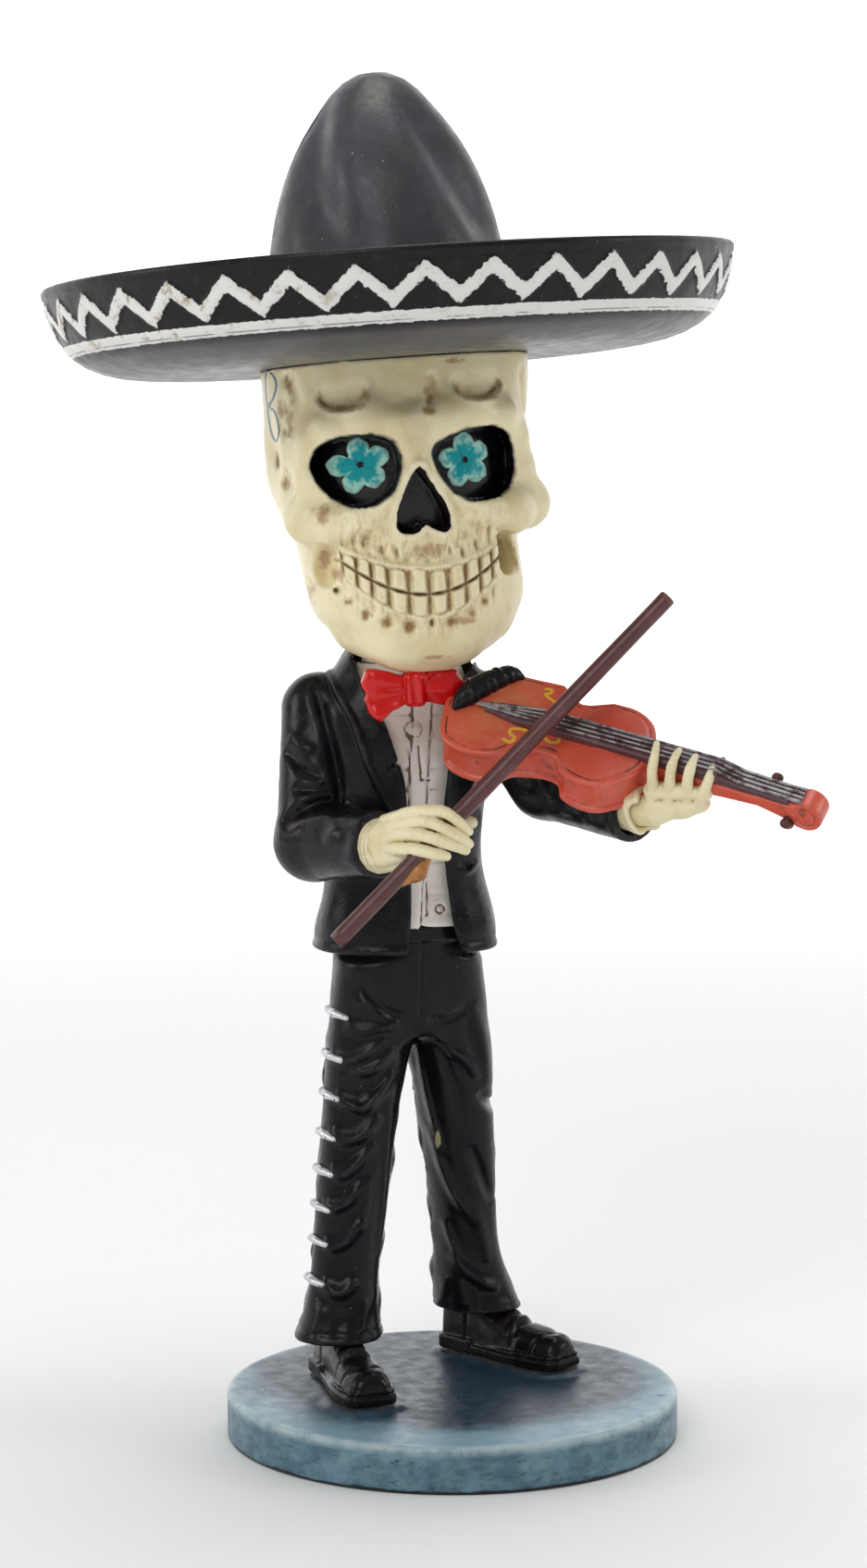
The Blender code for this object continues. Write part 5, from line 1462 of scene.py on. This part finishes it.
def make_flowers(place):
    """Five round petals pressed into the black, with fine dark lines from the middle."""
    paint = Paint("flower_turquoise", (0.0, 0.30, 0.33), 0.35)
    paint.shader.inputs["Specular IOR Level"].default_value = 0.2
    spread = paint.step(paint.ragged("out", 1.0, 0.2), 0.5, 1.0)
    paint.layer((0.42, 0.76, 0.64), spread)
    paint.layer(
        (0.50, 0.66, 0.58),
        paint.times(
            paint.step(paint.value("out"), 0.90, 1.0), paint.step(paint.noise(0.6), 0.4, 0.6, 0.2, 0.9),
        ),
    )
    rays = paint.times(
        paint.step(paint.value("ray"), 0.35, 0.05), paint.step(paint.value("out"), 0.75, 0.15),
    )
    paint.layer((0.004, 0.05, 0.065), paint.times(rays, 0.9))
    paint.layer((0.003, 0.004, 0.005), paint.step(paint.value("out"), 0.15, 0.11))
    paint.relief(paint.noise(0.5, 2.0), 0.05)
    rings, segments = 22, 240
    angles = np.arange(segments) * math.tau / segments
    for name, (cx, cz), petals in FLOWERS:
        ways = np.stack((np.cos(angles), np.sin(angles)))
        reach = np.full(segments, 1.75)
        nearest = np.zeros(segments)
        for i, (px, pz) in enumerate(petals):
            px, pz = cx + (px - cx) * FLOWER_SHRINK, cz + (pz - cz) * FLOWER_SHRINK
            along = (px - cx) * ways[0] + (pz - cz) * ways[1]
            off = (px - cx) ** 2 + (pz - cz) ** 2 - along ** 2
            radius = PETAL_RADIUS * (1.0 + 0.07 * math.sin(4.1 * i + cx))
            edge = along + np.sqrt(np.maximum(radius ** 2 - off, 0.0))
            edge = np.where((off < radius ** 2) & (along > 0), edge, 0.0)
            reach = np.maximum(reach, edge)
            turn = np.angle(np.exp(1j * (angles - math.atan2(pz - cz, px - cx))))
            nearest = np.maximum(nearest, np.cos(np.clip(turn * 2.5, -math.pi / 2, math.pi / 2)))
        reach = reach * (1.0 + 0.02 * np.sin(9 * angles + cx) + 0.015 * np.sin(17 * angles))
        lobe = nearest
        shares = np.linspace(0.0, 1.0, rings + 1)[1:]
        x = cx + np.outer(shares, reach * np.cos(angles))
        z = cz + np.outer(shares, reach * np.sin(angles))
        lift = 0.26 * np.sqrt(
            np.clip(1.0 - shares ** 6, 0.0, 1.0)
        )[:, None] + 0.10 * np.outer(np.sin(math.pi * shares), lobe)
        floor = socket_floor(x.ravel(), z.ravel()).reshape(x.shape)
        y = floor - lift
        back = floor[-1] + 0.5
        centre = (cx, float(socket_floor(np.array([cx]), np.array([cz]))[0]) - 0.16, cz)
        points = [np.array([centre])] + [np.stack((x[i], y[i], z[i]), 1) for i in range(rings)]
        points += [np.stack((x[-1], back, z[-1]), 1), np.array([(cx, float(back.mean()), cz)])]
        points = np.vstack(points)
        faces = []
        for i in range(segments):
            j = (i + 1) % segments
            faces.append([0, 1 + j, 1 + i])
            for k in range(rings):
                a, b = 1 + k * segments, 1 + (k + 1) * segments
                faces.append([a + i, a + j, b + j, b + i])
            last = 1 + rings * segments
            faces.append([last + i, last + j, len(points) - 1])
        out = np.concatenate(([0.0], np.repeat(shares, segments), np.ones(segments), [1.0]))
        fine = np.abs(np.sin(angles * 8.0 + 0.6 * np.sin(5 * angles + cx)))
        ray = np.minimum(fine * 0.9 + 0.08, np.minimum(nearest * 1.8, 1.0))
        ray = np.concatenate(([0.0], np.tile(ray, rings + 1), [1.0]))
        piece(name, points, faces, paint.material, "flower_paint", ["skull"], place, 2, 6, out=out, ray=ray)


# Sombrero


ZIGZAGS = 34
ZIGZAG_MIDDLE = 7.45
ZIGZAG_SWING = 1.75
ZIGZAG_HALF = 0.72
HAT_PROFILE = (
    (0.0, 37.5), (1.9, 37.3), (4.0, 36.35), (5.8, 34.8), (7.7, 32.4), (9.6, 29.8), (11.4, 26.7),
    (13.1, 22.8),
    (14.6, 17.8), (15.8, 11.6), (16.9, 6.0), (18.6, 3.2), (21.0, 2.5), (29.0, 3.0), (37.0, 4.6),
    (42.0, 8.4),
    (44.0, 11.2), (44.6, 11.95), (45.15, 11.8), (45.2, 11.2),
    (45.1, 10.6), (44.7, 8.9), (43.9, 6.6), (43.0, 4.7), (41.2, 2.6), (38.6, 1.1), (35.0, 0.15),
    (30.0, -0.25),
    (24.0, -0.2), (17.0, 0.0), (8.0, 0.0), (0.0, 0.0),
)
RIM = 18


def zigzag(angle):
    """A wave of straight lines, between -1 and 1."""
    turn = angle * ZIGZAGS / math.tau
    return 4.0 * np.abs(turn - np.floor(turn + 0.5)) - 1.0


def hat_paint():
    paint = Paint("hat_grey", (0.050, 0.050, 0.056), 0.34)
    paint.shader.inputs["Specular IOR Level"].default_value = 0.26
    paint.layer((0.062, 0.064, 0.075), paint.step(paint.noise(9.0, 4.0, 0.6), 0.42, 0.66))
    brushed = paint.noise(2.0, 5.0, 0.75, (1.0, 1.0, 0.6))
    paint.layer(
        (0.105, 0.105, 0.10), paint.times(paint.step(brushed, 0.5, 0.78, 0.0, 0.45), paint.value("crown")),
    )
    paint.layer(
        (0.20, 0.19, 0.165),
        paint.times(paint.value("patch"), paint.step(paint.noise(1.2), 0.35, 0.65, 0.2, 0.8)),
    )
    # A lighter grey on the brim's underside, partly a painted reflection of the pale floor.
    paint.layer(
        (0.115, 0.112, 0.108),
        paint.times(paint.value("under"), paint.step(paint.noise(8.0), 0.35, 0.6, 0.6, 1.0)),
    )
    band = paint.value("band")
    paint.layer((0.004, 0.004, 0.005), band)
    smudge = paint.step(paint.noise(1.4, 3.0), 0.55, 0.72, 0.0, 0.5)
    paint.layer((0.018, 0.018, 0.021), paint.times(band, smudge))
    rough_edge = paint.step(paint.noise(0.9, 4.0), 0.3, 0.7, -0.16, 0.16)
    stroke = paint.step(
        paint.plus(paint.math("ABSOLUTE", paint.value("zigzag")), rough_edge), ZIGZAG_HALF + 0.10,
        ZIGZAG_HALF - 0.02,
    )
    stroke = paint.times(stroke, paint.value("in_zigzag"))
    lines = paint.step(
        paint.plus(paint.math("ABSOLUTE", paint.value("piping")), paint.times(rough_edge, 0.5)), 0.74, 0.66,
    )
    white = paint.most(stroke, lines)
    paint.layer((0.70, 0.70, 0.68), white)
    split = paint.times(paint.line("split", 0.03, 0.07), paint.step(paint.noise(5.0), 0.42, 0.52, 0.0, 0.8))
    paint.layer((0.10, 0.09, 0.08), split)
    dirt = paint.times(white, paint.step(paint.noise(2.2, 4.0, 0.7), 0.52, 0.70))
    paint.layer((0.33, 0.25, 0.14), paint.times(dirt, paint.value("soiled")))
    dust = paint.step(paint.noise(0.55, 1.5), 0.76, 0.79)
    paint.layer((0.5, 0.5, 0.48), paint.times(dust, 0.8))
    rim = paint.times(
        paint.line("lip", 0.05, 0.16), paint.step(paint.noise(2.4, 3.0), 0.35, 0.6, 0.15, 0.85),
    )
    paint.layer((0.33, 0.33, 0.34), rim)
    paint.gloss(paint.step(paint.noise(2.4), 0.3, 0.7, 0.28, 0.44))
    paint.relief(paint.noise(0.6, 4.0), 0.05)
    return paint


def hat_profile():
    """The profile with close even steps, closest on the painted band."""
    line = smooth_line(HAT_PROFILE, 10)
    line[:, 0] = np.maximum(line[:, 0], 0.0)
    length = np.concatenate(([0.0], np.cumsum(np.hypot(*np.diff(line, axis=0).T))))
    marks = []
    spot = 0.0
    while spot < length[-1]:
        marks.append(spot)
        radius = np.interp(spot, length, line[:, 0])
        band = radius > 42.0
        spot += (0.38 if band else 2.2) * COARSER
    marks.append(length[-1])
    return np.stack([np.interp(marks, length, line[:, i]) for i in (0, 1)], 1), np.array(marks), length


def make_sombrero(place):
    profile, marks, length = hat_profile()
    profile[0, 0] = profile[-1, 0] = 0.0
    segments = int(748 / COARSER)
    points, quads = lathe(profile, segments)
    x, y, z = points.T
    radius = np.hypot(x, y)
    angle = np.arctan2(y, x)
    rim_mark = length[RIM * 10]
    spots = [marks[0]] + [mark for mark in marks[1:-1] for _ in range(segments)] + [marks[-1]]
    spots = np.array(spots)
    outer = spots > rim_mark
    crown = grade(18.6, 17.0, radius) * ~outer
    pinch = np.zeros(len(points))
    for centre, level, width, depth in (
        (-2.54, 25.0, 0.30, 0.13), (-1.05, 28.0, 0.30, 0.13), (1.1, 25.0, 0.40, 0.10),
        (2.1, 25.0, 0.40, 0.10),
    ):
        lean = angle - centre + 0.036 * (z - level) * (centre < 0)
        pinch += depth * np.exp(-(lean / width) ** 2) * grade(8.0, 20.0, z) * grade(35.5, 30.0, z)
    ridge = (
        0.03 * np.exp(-((angle + 2.05) / 0.25) ** 2) + 0.03 * np.exp(-((angle + 1.45) / 0.3) ** 2)
    ) * grade(12.0, 24.0, z)
    scale = 1.0 - (pinch - ridge) * crown
    wobble = 1.0 + 0.004 * np.sin(3 * angle + 0.4) * crown
    zig = z - ZIGZAG_MIDDLE - ZIGZAG_SWING * zigzag(angle + 0.045)
    slope = ZIGZAG_SWING * 4.0 * ZIGZAGS / math.tau / 44.0
    zig = zig / math.hypot(1.0, slope)
    in_zigzag = grade(4.55, 4.75, z) * grade(10.25, 10.05, z) * outer
    stroke = grade(ZIGZAG_HALF + 0.16, ZIGZAG_HALF - 0.1, np.abs(zig)) * in_zigzag
    groove = hump(z - 10.55, 0.3) * outer + 0.8 * hump(z - 4.62, 0.2) * outer
    pipe = np.sqrt(np.clip(1.0 - ((z - 3.78) / 0.85) ** 2, 0.0, 1.0)) * outer
    out = 0.30 * stroke - 0.22 * groove + 0.22 * pipe - 0.12 * in_zigzag
    out += outer * 0.04 * ripple(points.T, 1.2, 111)
    factor = (scale * wobble + out / np.maximum(radius, 1.0))
    points = np.stack((x * factor, y * factor, z), 1)
    wave = 0.35 * np.sin(2 * angle + 0.8) * grade(30.0, 44.0, radius)
    points[:, 2] += np.where(radius > 20, wave * 0.5, 0.0)
    patch = hump(np.hypot((angle + 1.72) * 2.4, (z - 33.6) / 2.4), 1.2) * crown
    piece(
        "sombrero_felt", points, merged(quads), hat_paint().material, "hat_paint", ["sombrero"], place, 3,
        12,
        crown=crown, patch=patch, under=grade(3.2, 2.2, z) * outer,
        band=grade(2.9, 3.1, z) * (spots > rim_mark - 1.2),
        zigzag=zig, in_zigzag=in_zigzag, piping=np.where(outer, z - 3.72, 9.0),
        split=np.where(outer, z - 3.35, 9.0),
        soiled=grade(-1.2, -2.6, angle) * 0.9 + 0.15, lip=spots - rim_mark + 1.3,
    )


# Violin and bow


# The body's outline, bout by bout, with a corner between each two.
VIOLIN_SIDES = (
    (
        (-0.9, 7.8), (-5.3, 7.7), (-8.5, 7.5), (-11.6, 6.6), (-13.6, 4.2), (-14.3, 0.8), (-13.5, -3.0),
        (-11.9, -6.4),
        (-8.3, -7.6), (-5.4, -7.2), (-3.9, -6.5),
    ),
    ((-3.9, -6.5), (-2.6, -5.0), (0.6, -4.2), (2.8, -4.5), (3.7, -5.5)),
    (
        (3.7, -5.5), (4.5, -6.6), (7.4, -7.5), (10.3, -7.0), (13.3, -3.9), (14.2, -1.1), (14.0, 2.2),
        (12.5, 5.2),
        (9.6, 6.9), (6.3, 7.1),
    ),
    ((6.3, 7.1), (2.6, 5.5), (-0.9, 7.8)),
)
VIOLIN_RING = np.vstack([smooth_line(side, 4)[:-1] for side in VIOLIN_SIDES])


def violin_plan(x, y):
    return ring_distance(x, y, VIOLIN_RING)


def violin_field(p):
    """Body with arched plates over ribs, neck, scroll box and scroll."""
    x, y, z = p
    half = BODY_DEPTH / 2
    plan = violin_plan(x, y)
    arch = 0.55 * np.clip(-plan / 6.0, 0.0, 1.0) ** 0.7
    top = within(plan, np.abs(z - half + 0.45 - arch / 2) - 0.45 - arch / 2, 0.35)
    back = within(plan, np.abs(z + half - 0.40 + arch / 2) - 0.40 - arch / 2, 0.35)
    ribs = within(plan + 0.55, np.abs(z) - half + 0.3, 0.2)
    body = join(join(top, back, 0.05), ribs, 0.35)
    body = body + 0.10 * hump(plan + 0.75, 0.28) * (z > half - 0.4)
    width = np.interp(x, (12.0, 15.0, 24.0, 35.0), (2.1, 1.65, 1.65, 1.5))
    low = np.interp(
        x, (11.5, 13.5, 17.0, 29.0, 31.0, 33.0, 34.5), (-2.4, -1.6, -0.4, 0.1, -0.5, -1.1, -1.6),
    )
    high = np.interp(x, (12.0, 24.0, 34.0), (2.7, 2.3, 2.1))
    neck = np.hypot(
        np.maximum(np.abs(y) - width + 0.6, 0.0),
        np.maximum(np.abs(z - (low + high) / 2) - (high - low) / 2 + 0.6, 0.0),
    ) - 0.6
    neck = within(neck, np.maximum(x - 34.4, 12.0 - x), 0.4)
    body = join(body, neck, 0.5)
    roll = np.hypot(x - SCROLL_REACH + 0.8, z - 0.5)
    scroll = within(roll - 2.15, np.abs(y) - 1.75, 0.45)
    scroll = scroll + 0.25 * hump(roll - 1.3, 0.4) * (np.abs(y) > 1.3)
    body = join(body, scroll, 0.5)
    heel = within(rod(p, (12.8, 0.0, -2.0), (14.8, 0.0, -0.6), 2.0, 1.2), -p[2] - 3.2, 0.3)
    body = join(body, heel, 0.8)
    return body - 0.05 * ripple(p, 1.4, 121)


def pegs_field(p):
    """Two stubby pegs, one on each side of the peg box."""
    far = join(
        rod(p, (30.4, 1.2, 2.0), (30.4, 2.0, 2.3), 0.5, 0.55), ball(p, (30.4, 2.1, 2.4), (0.8, 0.6, 0.65)),
        0.2,
    )
    near = join(
        rod(p, (33.2, -1.2, -0.4), (33.2, -2.0, -0.7), 0.6, 0.65),
        ball(p, (33.2, -2.1, -0.8), (0.9, 0.7, 0.75)), 0.2,
    )
    return np.minimum(far, near) - 0.08 * ripple(p, 3.0, 127)


def fingerboard_field(p):
    x, y, z = p
    width = np.interp(x, (-9.0, -4.0, 8.0, 33.0), (0.6, 1.5, 1.7, 1.5))
    high = np.interp(x, (-9.0, 0.0, 23.4, 26.6, 33.0), (3.7, 4.45, 3.8, 3.05, 2.6))
    low = np.interp(x, (-9.0, 14.0, 33.0), (2.9, 2.6, 1.8))
    slab = np.maximum(np.abs(y) - width, np.maximum(z - high + 0.25 * (y / 1.6) ** 2, low - z))
    slab = within(slab, np.maximum(x - 33.2, -8.6 - x), 0.3)
    nut = box(p, (23.4, 0.0, 3.3), (0.6, 3.3, 1.7), rounding=0.2)
    return join(slab, nut, 0.2) - 0.05 * ripple(p, 1.8, 131)


def strings_field(p):
    """Four raised strings, from the tail over the fingerboard and the nut to the scroll."""
    made = np.full(p.shape[1], 9.0, np.float32)
    for k in range(4):
        side = k - 1.5
        points = (
            (-9.6, 0.10 * side, 3.7), (0.0, 0.76 * side, 4.5), (23.4, 0.70 * side, 4.2),
            (26.6, 0.72 * side, 3.15), (32.6, 0.70 * side, 2.7), (34.6, 0.75 * side, 2.6),
        )
        made = np.minimum(made, chain(p, points, (0.17, 0.16, 0.16, 0.22, 0.24, 0.26), 0.1))
    return made - 0.03 * ripple(p, 2.6, 141)


# The chin rest's middle line on the top plate, and its half width.
REST_LINE = (
    (-12.3, -1.4, 3.4), (-11.8, 0.2, 3.6), (-11.2, 1.8, 3.7), (-10.2, 3.5, 3.7), (-9.1, 5.2, 3.6),
    (-8.0, 6.6, 3.4),
    (-6.6, 7.0, 3.0),
)
REST_RADII = (0.35, 0.85, 1.15, 1.15, 1.0, 0.75, 0.3)


def tail_field(p):
    """The black chin rest, like a feather with a ragged edge, over the tail of the strings."""
    x, y, _ = p
    made = chain(p, REST_LINE, REST_RADII, 1.6)
    along = 0.5 * x + 0.85 * y
    barbs = 0.05 * np.sin(4.2 * along + 0.5 * x) + 0.03 * np.sin(7.3 * along - 0.8 * x)
    vane = 0.20 * hump(y + 1.6 * (x + 11.4) - 1.4, 0.5)
    return made - barbs * grade(-11.6, -9.6, x + 0.25 * (y - 3.0)) - vane - 0.05 * ripple(p, 2.0, 151)


F_HOLES = (
    ((-4.3, -4.2), (-3.3, -4.3), (-3.1, -3.4), (-3.9, -3.0), (-4.1, -2.3), (-3.2, -1.9), (-2.2, -1.8)),
    ((0.6, -2.2), (1.4, -2.6), (2.4, -2.3), (2.2, -1.4), (1.5, -1.0)),
    ((-2.9, 6.1), (-2.2, 6.3), (-1.9, 5.6), (-2.5, 5.2), (-1.9, 4.7), (-0.9, 4.3), (-0.2, 4.2)),
)


def violin_frame():
    """X along the violin towards the scroll, Z out of its top plate."""
    face = (VIOLIN_LEAN - VIOLIN_LEAN.dot(VIOLIN_AXIS) * VIOLIN_AXIS).normalized()
    turn = Matrix((VIOLIN_AXIS, face.cross(VIOLIN_AXIS), face)).transposed().to_4x4()
    return Matrix.Translation(VIOLIN_CENTRE) @ turn


def make_violin():
    place = violin_frame()
    red = Paint("violin_red", (0.60, 0.082, 0.044), 0.33, 0.1)
    # Wear and painted highlight: a lighter orange patch on the middle of the lower bout.
    red.layer((0.55, 0.20, 0.07), red.times(red.value("worn"), red.step(red.noise(3.0), 0.3, 0.65)))
    red.layer((0.68, 0.19, 0.13), red.step(red.noise(4.0, 5.0), 0.5, 0.75, 0.0, 0.5))
    # Painted shade: a dark red-brown in patches in the creases.
    red.layer(
        (0.10, 0.018, 0.012),
        red.times(
            red.step(red.value("proud"), -0.01, -0.07, 0.0, 0.8), red.step(red.noise(1.6), 0.38, 0.6),
        ),
    )
    purfling = red.times(red.line("plan", 0.05, 0.10), red.step(red.noise(2.6), 0.46, 0.56))
    red.layer((0.07, 0.02, 0.015), red.times(purfling, red.value("upper")))
    dark_patch = red.times(
        red.step(red.noise(1.8, 5.0, 0.7), 0.56, 0.68), red.step(red.value("upper"), 0.6, 0.3),
    )
    red.layer((0.12, 0.03, 0.02), red.times(dark_patch, 0.7))
    red.layer(
        (0.76, 0.42, 0.035), red.times(red.step(red.value("scrollwork"), 0.26, 0.16), red.value("upper")),
    )
    red.relief(red.noise(0.8, 4.0), 0.06)
    points, quads = sculpt(violin_field, (-15.5, -9, -4), (38.2, 9, 5), GRAIN["violin_body"])
    x, y, z = points.T
    holes = np.full(len(points), 9.0)
    for hole in F_HOLES:
        holes = np.minimum(holes, trace(x, y, smooth_line(hole, 4))[0])
    piece(
        "violin_body", points, quads, red.material, "violin_paint", ["violin"], place, 3, 14,
        plan=violin_plan(x, y) + 0.75, upper=grade(1.6, 2.2, z) * (x < 15.0), scrollwork=holes,
        worn=hump(np.hypot((x + 6.5) / 5.0, (y - 1.0) / 6.0), 1.4),
    )
    plum = Paint("board_plum", (0.085, 0.032, 0.036), 0.38, 0.1)
    plum.layer((0.16, 0.08, 0.085), plum.step(plum.noise(1.6, 4.0), 0.5, 0.7, 0.0, 0.6))
    # Painted shade: near black in the creases.
    plum.layer((0.02, 0.01, 0.01), plum.step(plum.value("proud"), -0.01, -0.06, 0.0, 0.8))
    plum.relief(plum.noise(0.6, 3.0), 0.05)
    points, quads = sculpt(fingerboard_field, (-10, -3, 1), (34, 3, 6), GRAIN["fingerboard"])
    piece("fingerboard", points, quads, plum.material, "violin_paint", ["violin"], place)
    silver = Paint("string_silver", (0.30, 0.29, 0.30), 0.3)
    silver.shader.inputs["Metallic"].default_value = 0.4
    silver.layer((0.09, 0.05, 0.05), silver.step(silver.noise(1.5, 4.0), 0.47, 0.62))
    silver.relief(silver.noise(0.5, 2.0), 0.05)
    points, quads = sculpt(strings_field, (-11, -3, 1.5), (37, 3, 6), GRAIN["strings"])
    piece("strings", points, quads, silver.material, "silver_paint", ["violin"], place, 2, 6)
    black = black_paint("rest_black", (0.008, 0.008, 0.010), 0.24)
    points, quads = sculpt(tail_field, (-15.5, -4, 1), (-6, 9.5, 6.5), GRAIN["chin_rest"])
    piece("chin_rest", points, quads, black.material, "violin_paint", ["violin"], place)
    points, quads = sculpt(pegs_field, (28.5, -4, -2.5), (35, 4, 4), GRAIN["pegs"])
    wood = Paint("peg_brown", (0.06, 0.012, 0.010), 0.35)
    wood.layer((0.30, 0.04, 0.025), wood.step(wood.noise(1.0), 0.5, 0.7))
    wood.relief(wood.noise(0.5), 0.05)
    piece("pegs", points, quads, wood.material, "violin_paint", ["violin"], place)


FROG_SPAN = (9.6, 16.6)
FROG_DROP = 1.35


def frog_field(p):
    """The bow's frog, a wedge under the stick that tapers towards both its ends."""
    along = np.array((BOW_HIGH - BOW_LOW).normalized())
    down = np.array((along[2], 0.0, -along[0]))
    down /= np.linalg.norm(down)
    start, end = (np.array(BOW_LOW) + along * reach for reach in FROG_SPAN)
    middle = start * 0.45 + end * 0.55 + down * FROG_DROP
    made = chain(p, (start + down * 0.3, middle, end + down * 0.5), (0.4, 1.05, 0.6), 0.8)
    return made - 0.08 * ripple(p, 1.6, 161)


def make_bow():
    along = (BOW_HIGH - BOW_LOW).normalized()
    place = Matrix.Translation(BOW_LOW) @ along.to_track_quat("Z", "Y").to_matrix().to_4x4()
    length = (BOW_HIGH - BOW_LOW).length
    profile = [(0.0, length), (BOW_RADIUS - 0.15, length), (BOW_RADIUS, length - 0.15)]
    profile += [(BOW_RADIUS, height) for height in np.arange(length - 0.8, 0.8, -0.7 * COARSER)]
    profile += [(BOW_RADIUS, 0.15), (BOW_RADIUS - 0.15, 0.0), (0.0, 0.0)]
    points, quads = lathe(profile, 48)
    x, y, z = points.T
    swell = 1.0 + 0.02 * np.sin(0.31 * z) + 0.012 * ripple(points.T, 1.1, 171)
    points = np.stack((x * swell, y * swell, z), 1)
    paint = Paint("bow_brown", (0.085, 0.024, 0.022), 0.36)
    paint.layer((0.13, 0.045, 0.040), paint.step(paint.noise(2.6, 5.0), 0.45, 0.70, 0.0, 0.7))
    paint.layer(
        (0.33, 0.15, 0.13),
        paint.times(paint.value("tip"), paint.step(paint.noise(0.8), 0.4, 0.6, 0.3, 0.9)),
    )
    paint.relief(paint.noise(0.9, 4.0), 0.06)
    piece(
        "bow_stick", points, merged(quads), paint.material, "bow_paint", ["bow"], place, 2, 4,
        tip=grade(length - 0.25, length - 0.05, z),
    )
    amber = Paint("frog_amber", (0.42, 0.17, 0.035), 0.38, 0.2)
    amber.layer((0.16, 0.05, 0.015), amber.step(amber.noise(1.8), 0.45, 0.65, 0.0, 0.8))
    amber.relief(amber.noise(0.7), 0.05)
    points, quads = sculpt(frog_field, (-12, -28, 72), (2, -18, 86), GRAIN["bow_frog"])
    piece("bow_frog", points, quads, amber.material, "bow_paint", ["bow"])


# Room, light and camera


def make_room():
    """A pale floor that curves up into a backdrop, under soft lights."""
    depth, bend, height, half_width = 1.0, 0.5, 1.6, 3.0
    curve = [(-3.0, 0.0), (depth, 0.0)]
    curve += [
        (depth + bend * math.sin(a), bend - bend * math.cos(a)) for a in np.linspace(0.1, math.pi / 2, 12)
    ]
    curve.append((depth + bend, height))
    points = [(x, y, z) for y, z in curve for x in (-half_width, half_width)]
    faces = [(2 * i, 2 * i + 1, 2 * i + 3, 2 * i + 2) for i in range(len(curve) - 1)]
    mesh = bpy.data.meshes.new("floor")
    mesh.from_pydata(points, [], faces)
    mesh.shade_smooth()
    mesh.transform(Matrix.Rotation(TURN, 4, "Z"))
    floor = bpy.data.objects.new("floor", mesh)
    bpy.context.scene.collection.objects.link(floor)
    look = bpy.data.materials.new("pale_floor")
    look.use_nodes = True
    shader = look.node_tree.nodes["Principled BSDF"]
    shader.inputs["Base Color"].default_value = (0.88, 0.88, 0.88, 1.0)
    shader.inputs["Roughness"].default_value = 0.8
    shader.inputs["Emission Color"].default_value = (1.0, 1.0, 1.0, 1.0)
    place = look.node_tree.nodes.new("ShaderNodeTexCoord")
    distance = look.node_tree.nodes.new("ShaderNodeVectorMath")
    distance.operation = "LENGTH"
    fade = look.node_tree.nodes.new("ShaderNodeMapRange")
    fade.interpolation_type = "SMOOTHSTEP"
    for key, number in (("From Min", 0.25), ("From Max", 1.1), ("To Min", 0.0), ("To Max", BACKDROP_GLOW)):
        fade.inputs[key].default_value = number
    look.node_tree.links.new(place.outputs["Object"], distance.inputs[0])
    look.node_tree.links.new(distance.outputs["Value"], fade.inputs["Value"])
    look.node_tree.links.new(fade.outputs[0], shader.inputs["Emission Strength"])
    mesh.materials.append(look)

    world = bpy.data.worlds.new("soft_white")
    bpy.context.scene.world = world
    world.use_nodes = True
    world.node_tree.nodes["Background"].inputs["Color"].default_value = (1.0, 1.0, 1.0, 1.0)
    world.node_tree.nodes["Background"].inputs["Strength"].default_value = WORLD_STRENGTH
    bpy.context.scene.view_settings.view_transform = "Standard"
    target = Vector((-0.006, 0.0, 0.10))
    for name, spot, size, power in LIGHTS:
        light = bpy.data.lights.new(name, "AREA")
        light.size = size
        light.energy = power
        lamp = bpy.data.objects.new(name, light)
        bpy.context.scene.collection.objects.link(lamp)
        spot = Matrix.Rotation(TURN, 4, "Z") @ Vector(spot)
        lamp.location = spot
        lamp.rotation_euler = (target - spot).to_track_quat("-Z", "Y").to_euler()


WORLD_STRENGTH = 0.34
BACKDROP_GLOW = 0.75
LIGHTS = (
    ("front_box", (-0.40, -0.95, 0.80), 0.60, 4.2),
    ("left_strip", (-1.0, -0.10, 0.45), 0.40, 2.0),
    ("right_strip", (1.0, -0.05, 0.45), 0.40, 1.7),
    ("top_box", (0.05, 0.15, 1.20), 0.70, 5.0),
)
CAMERA_PLACE = (-2.51, -480.0, 136.29)
CAMERA_TILT = math.radians(84.127)
PIXELS_PER_DISTANCE = 3967.3
PHOTO_HEIGHT = 1695
SENSOR = 36.0


def make_camera():
    camera = bpy.data.objects.new("camera", bpy.data.cameras.new("camera"))
    bpy.context.scene.collection.objects.link(camera)
    spot = Matrix.Translation(Vector(CAMERA_PLACE) * MM)
    camera.matrix_world = Matrix.Rotation(TURN, 4, "Z") @ spot @ Matrix.Rotation(CAMERA_TILT, 4, "X")
    camera.data.sensor_width = SENSOR
    camera.data.lens = PIXELS_PER_DISTANCE / PHOTO_HEIGHT * SENSOR
    camera.data.clip_start = 0.01
    bpy.context.scene.camera = camera


def head_frame():
    turn = Matrix.Rotation(HEAD_ROLL, 4, "Y") @ Matrix.Rotation(HEAD_YAW, 4, "Z")
    return Matrix.Translation(HEAD_CENTRE) @ turn @ Matrix.Rotation(HEAD_PITCH, 4, "X")


def main():
    make_camera()
    make_room()
    make_base()
    make_trousers()
    make_shoes()
    make_clothes()
    make_hands()
    make_skull(head_frame())
    make_flowers(head_frame())
    make_sombrero(head_frame() @ Matrix.Translation((HAT_CENTRE_X, 0, HAT_LEVEL)))
    make_violin()
    make_bow()
    bpy.context.view_layer.update()


main()
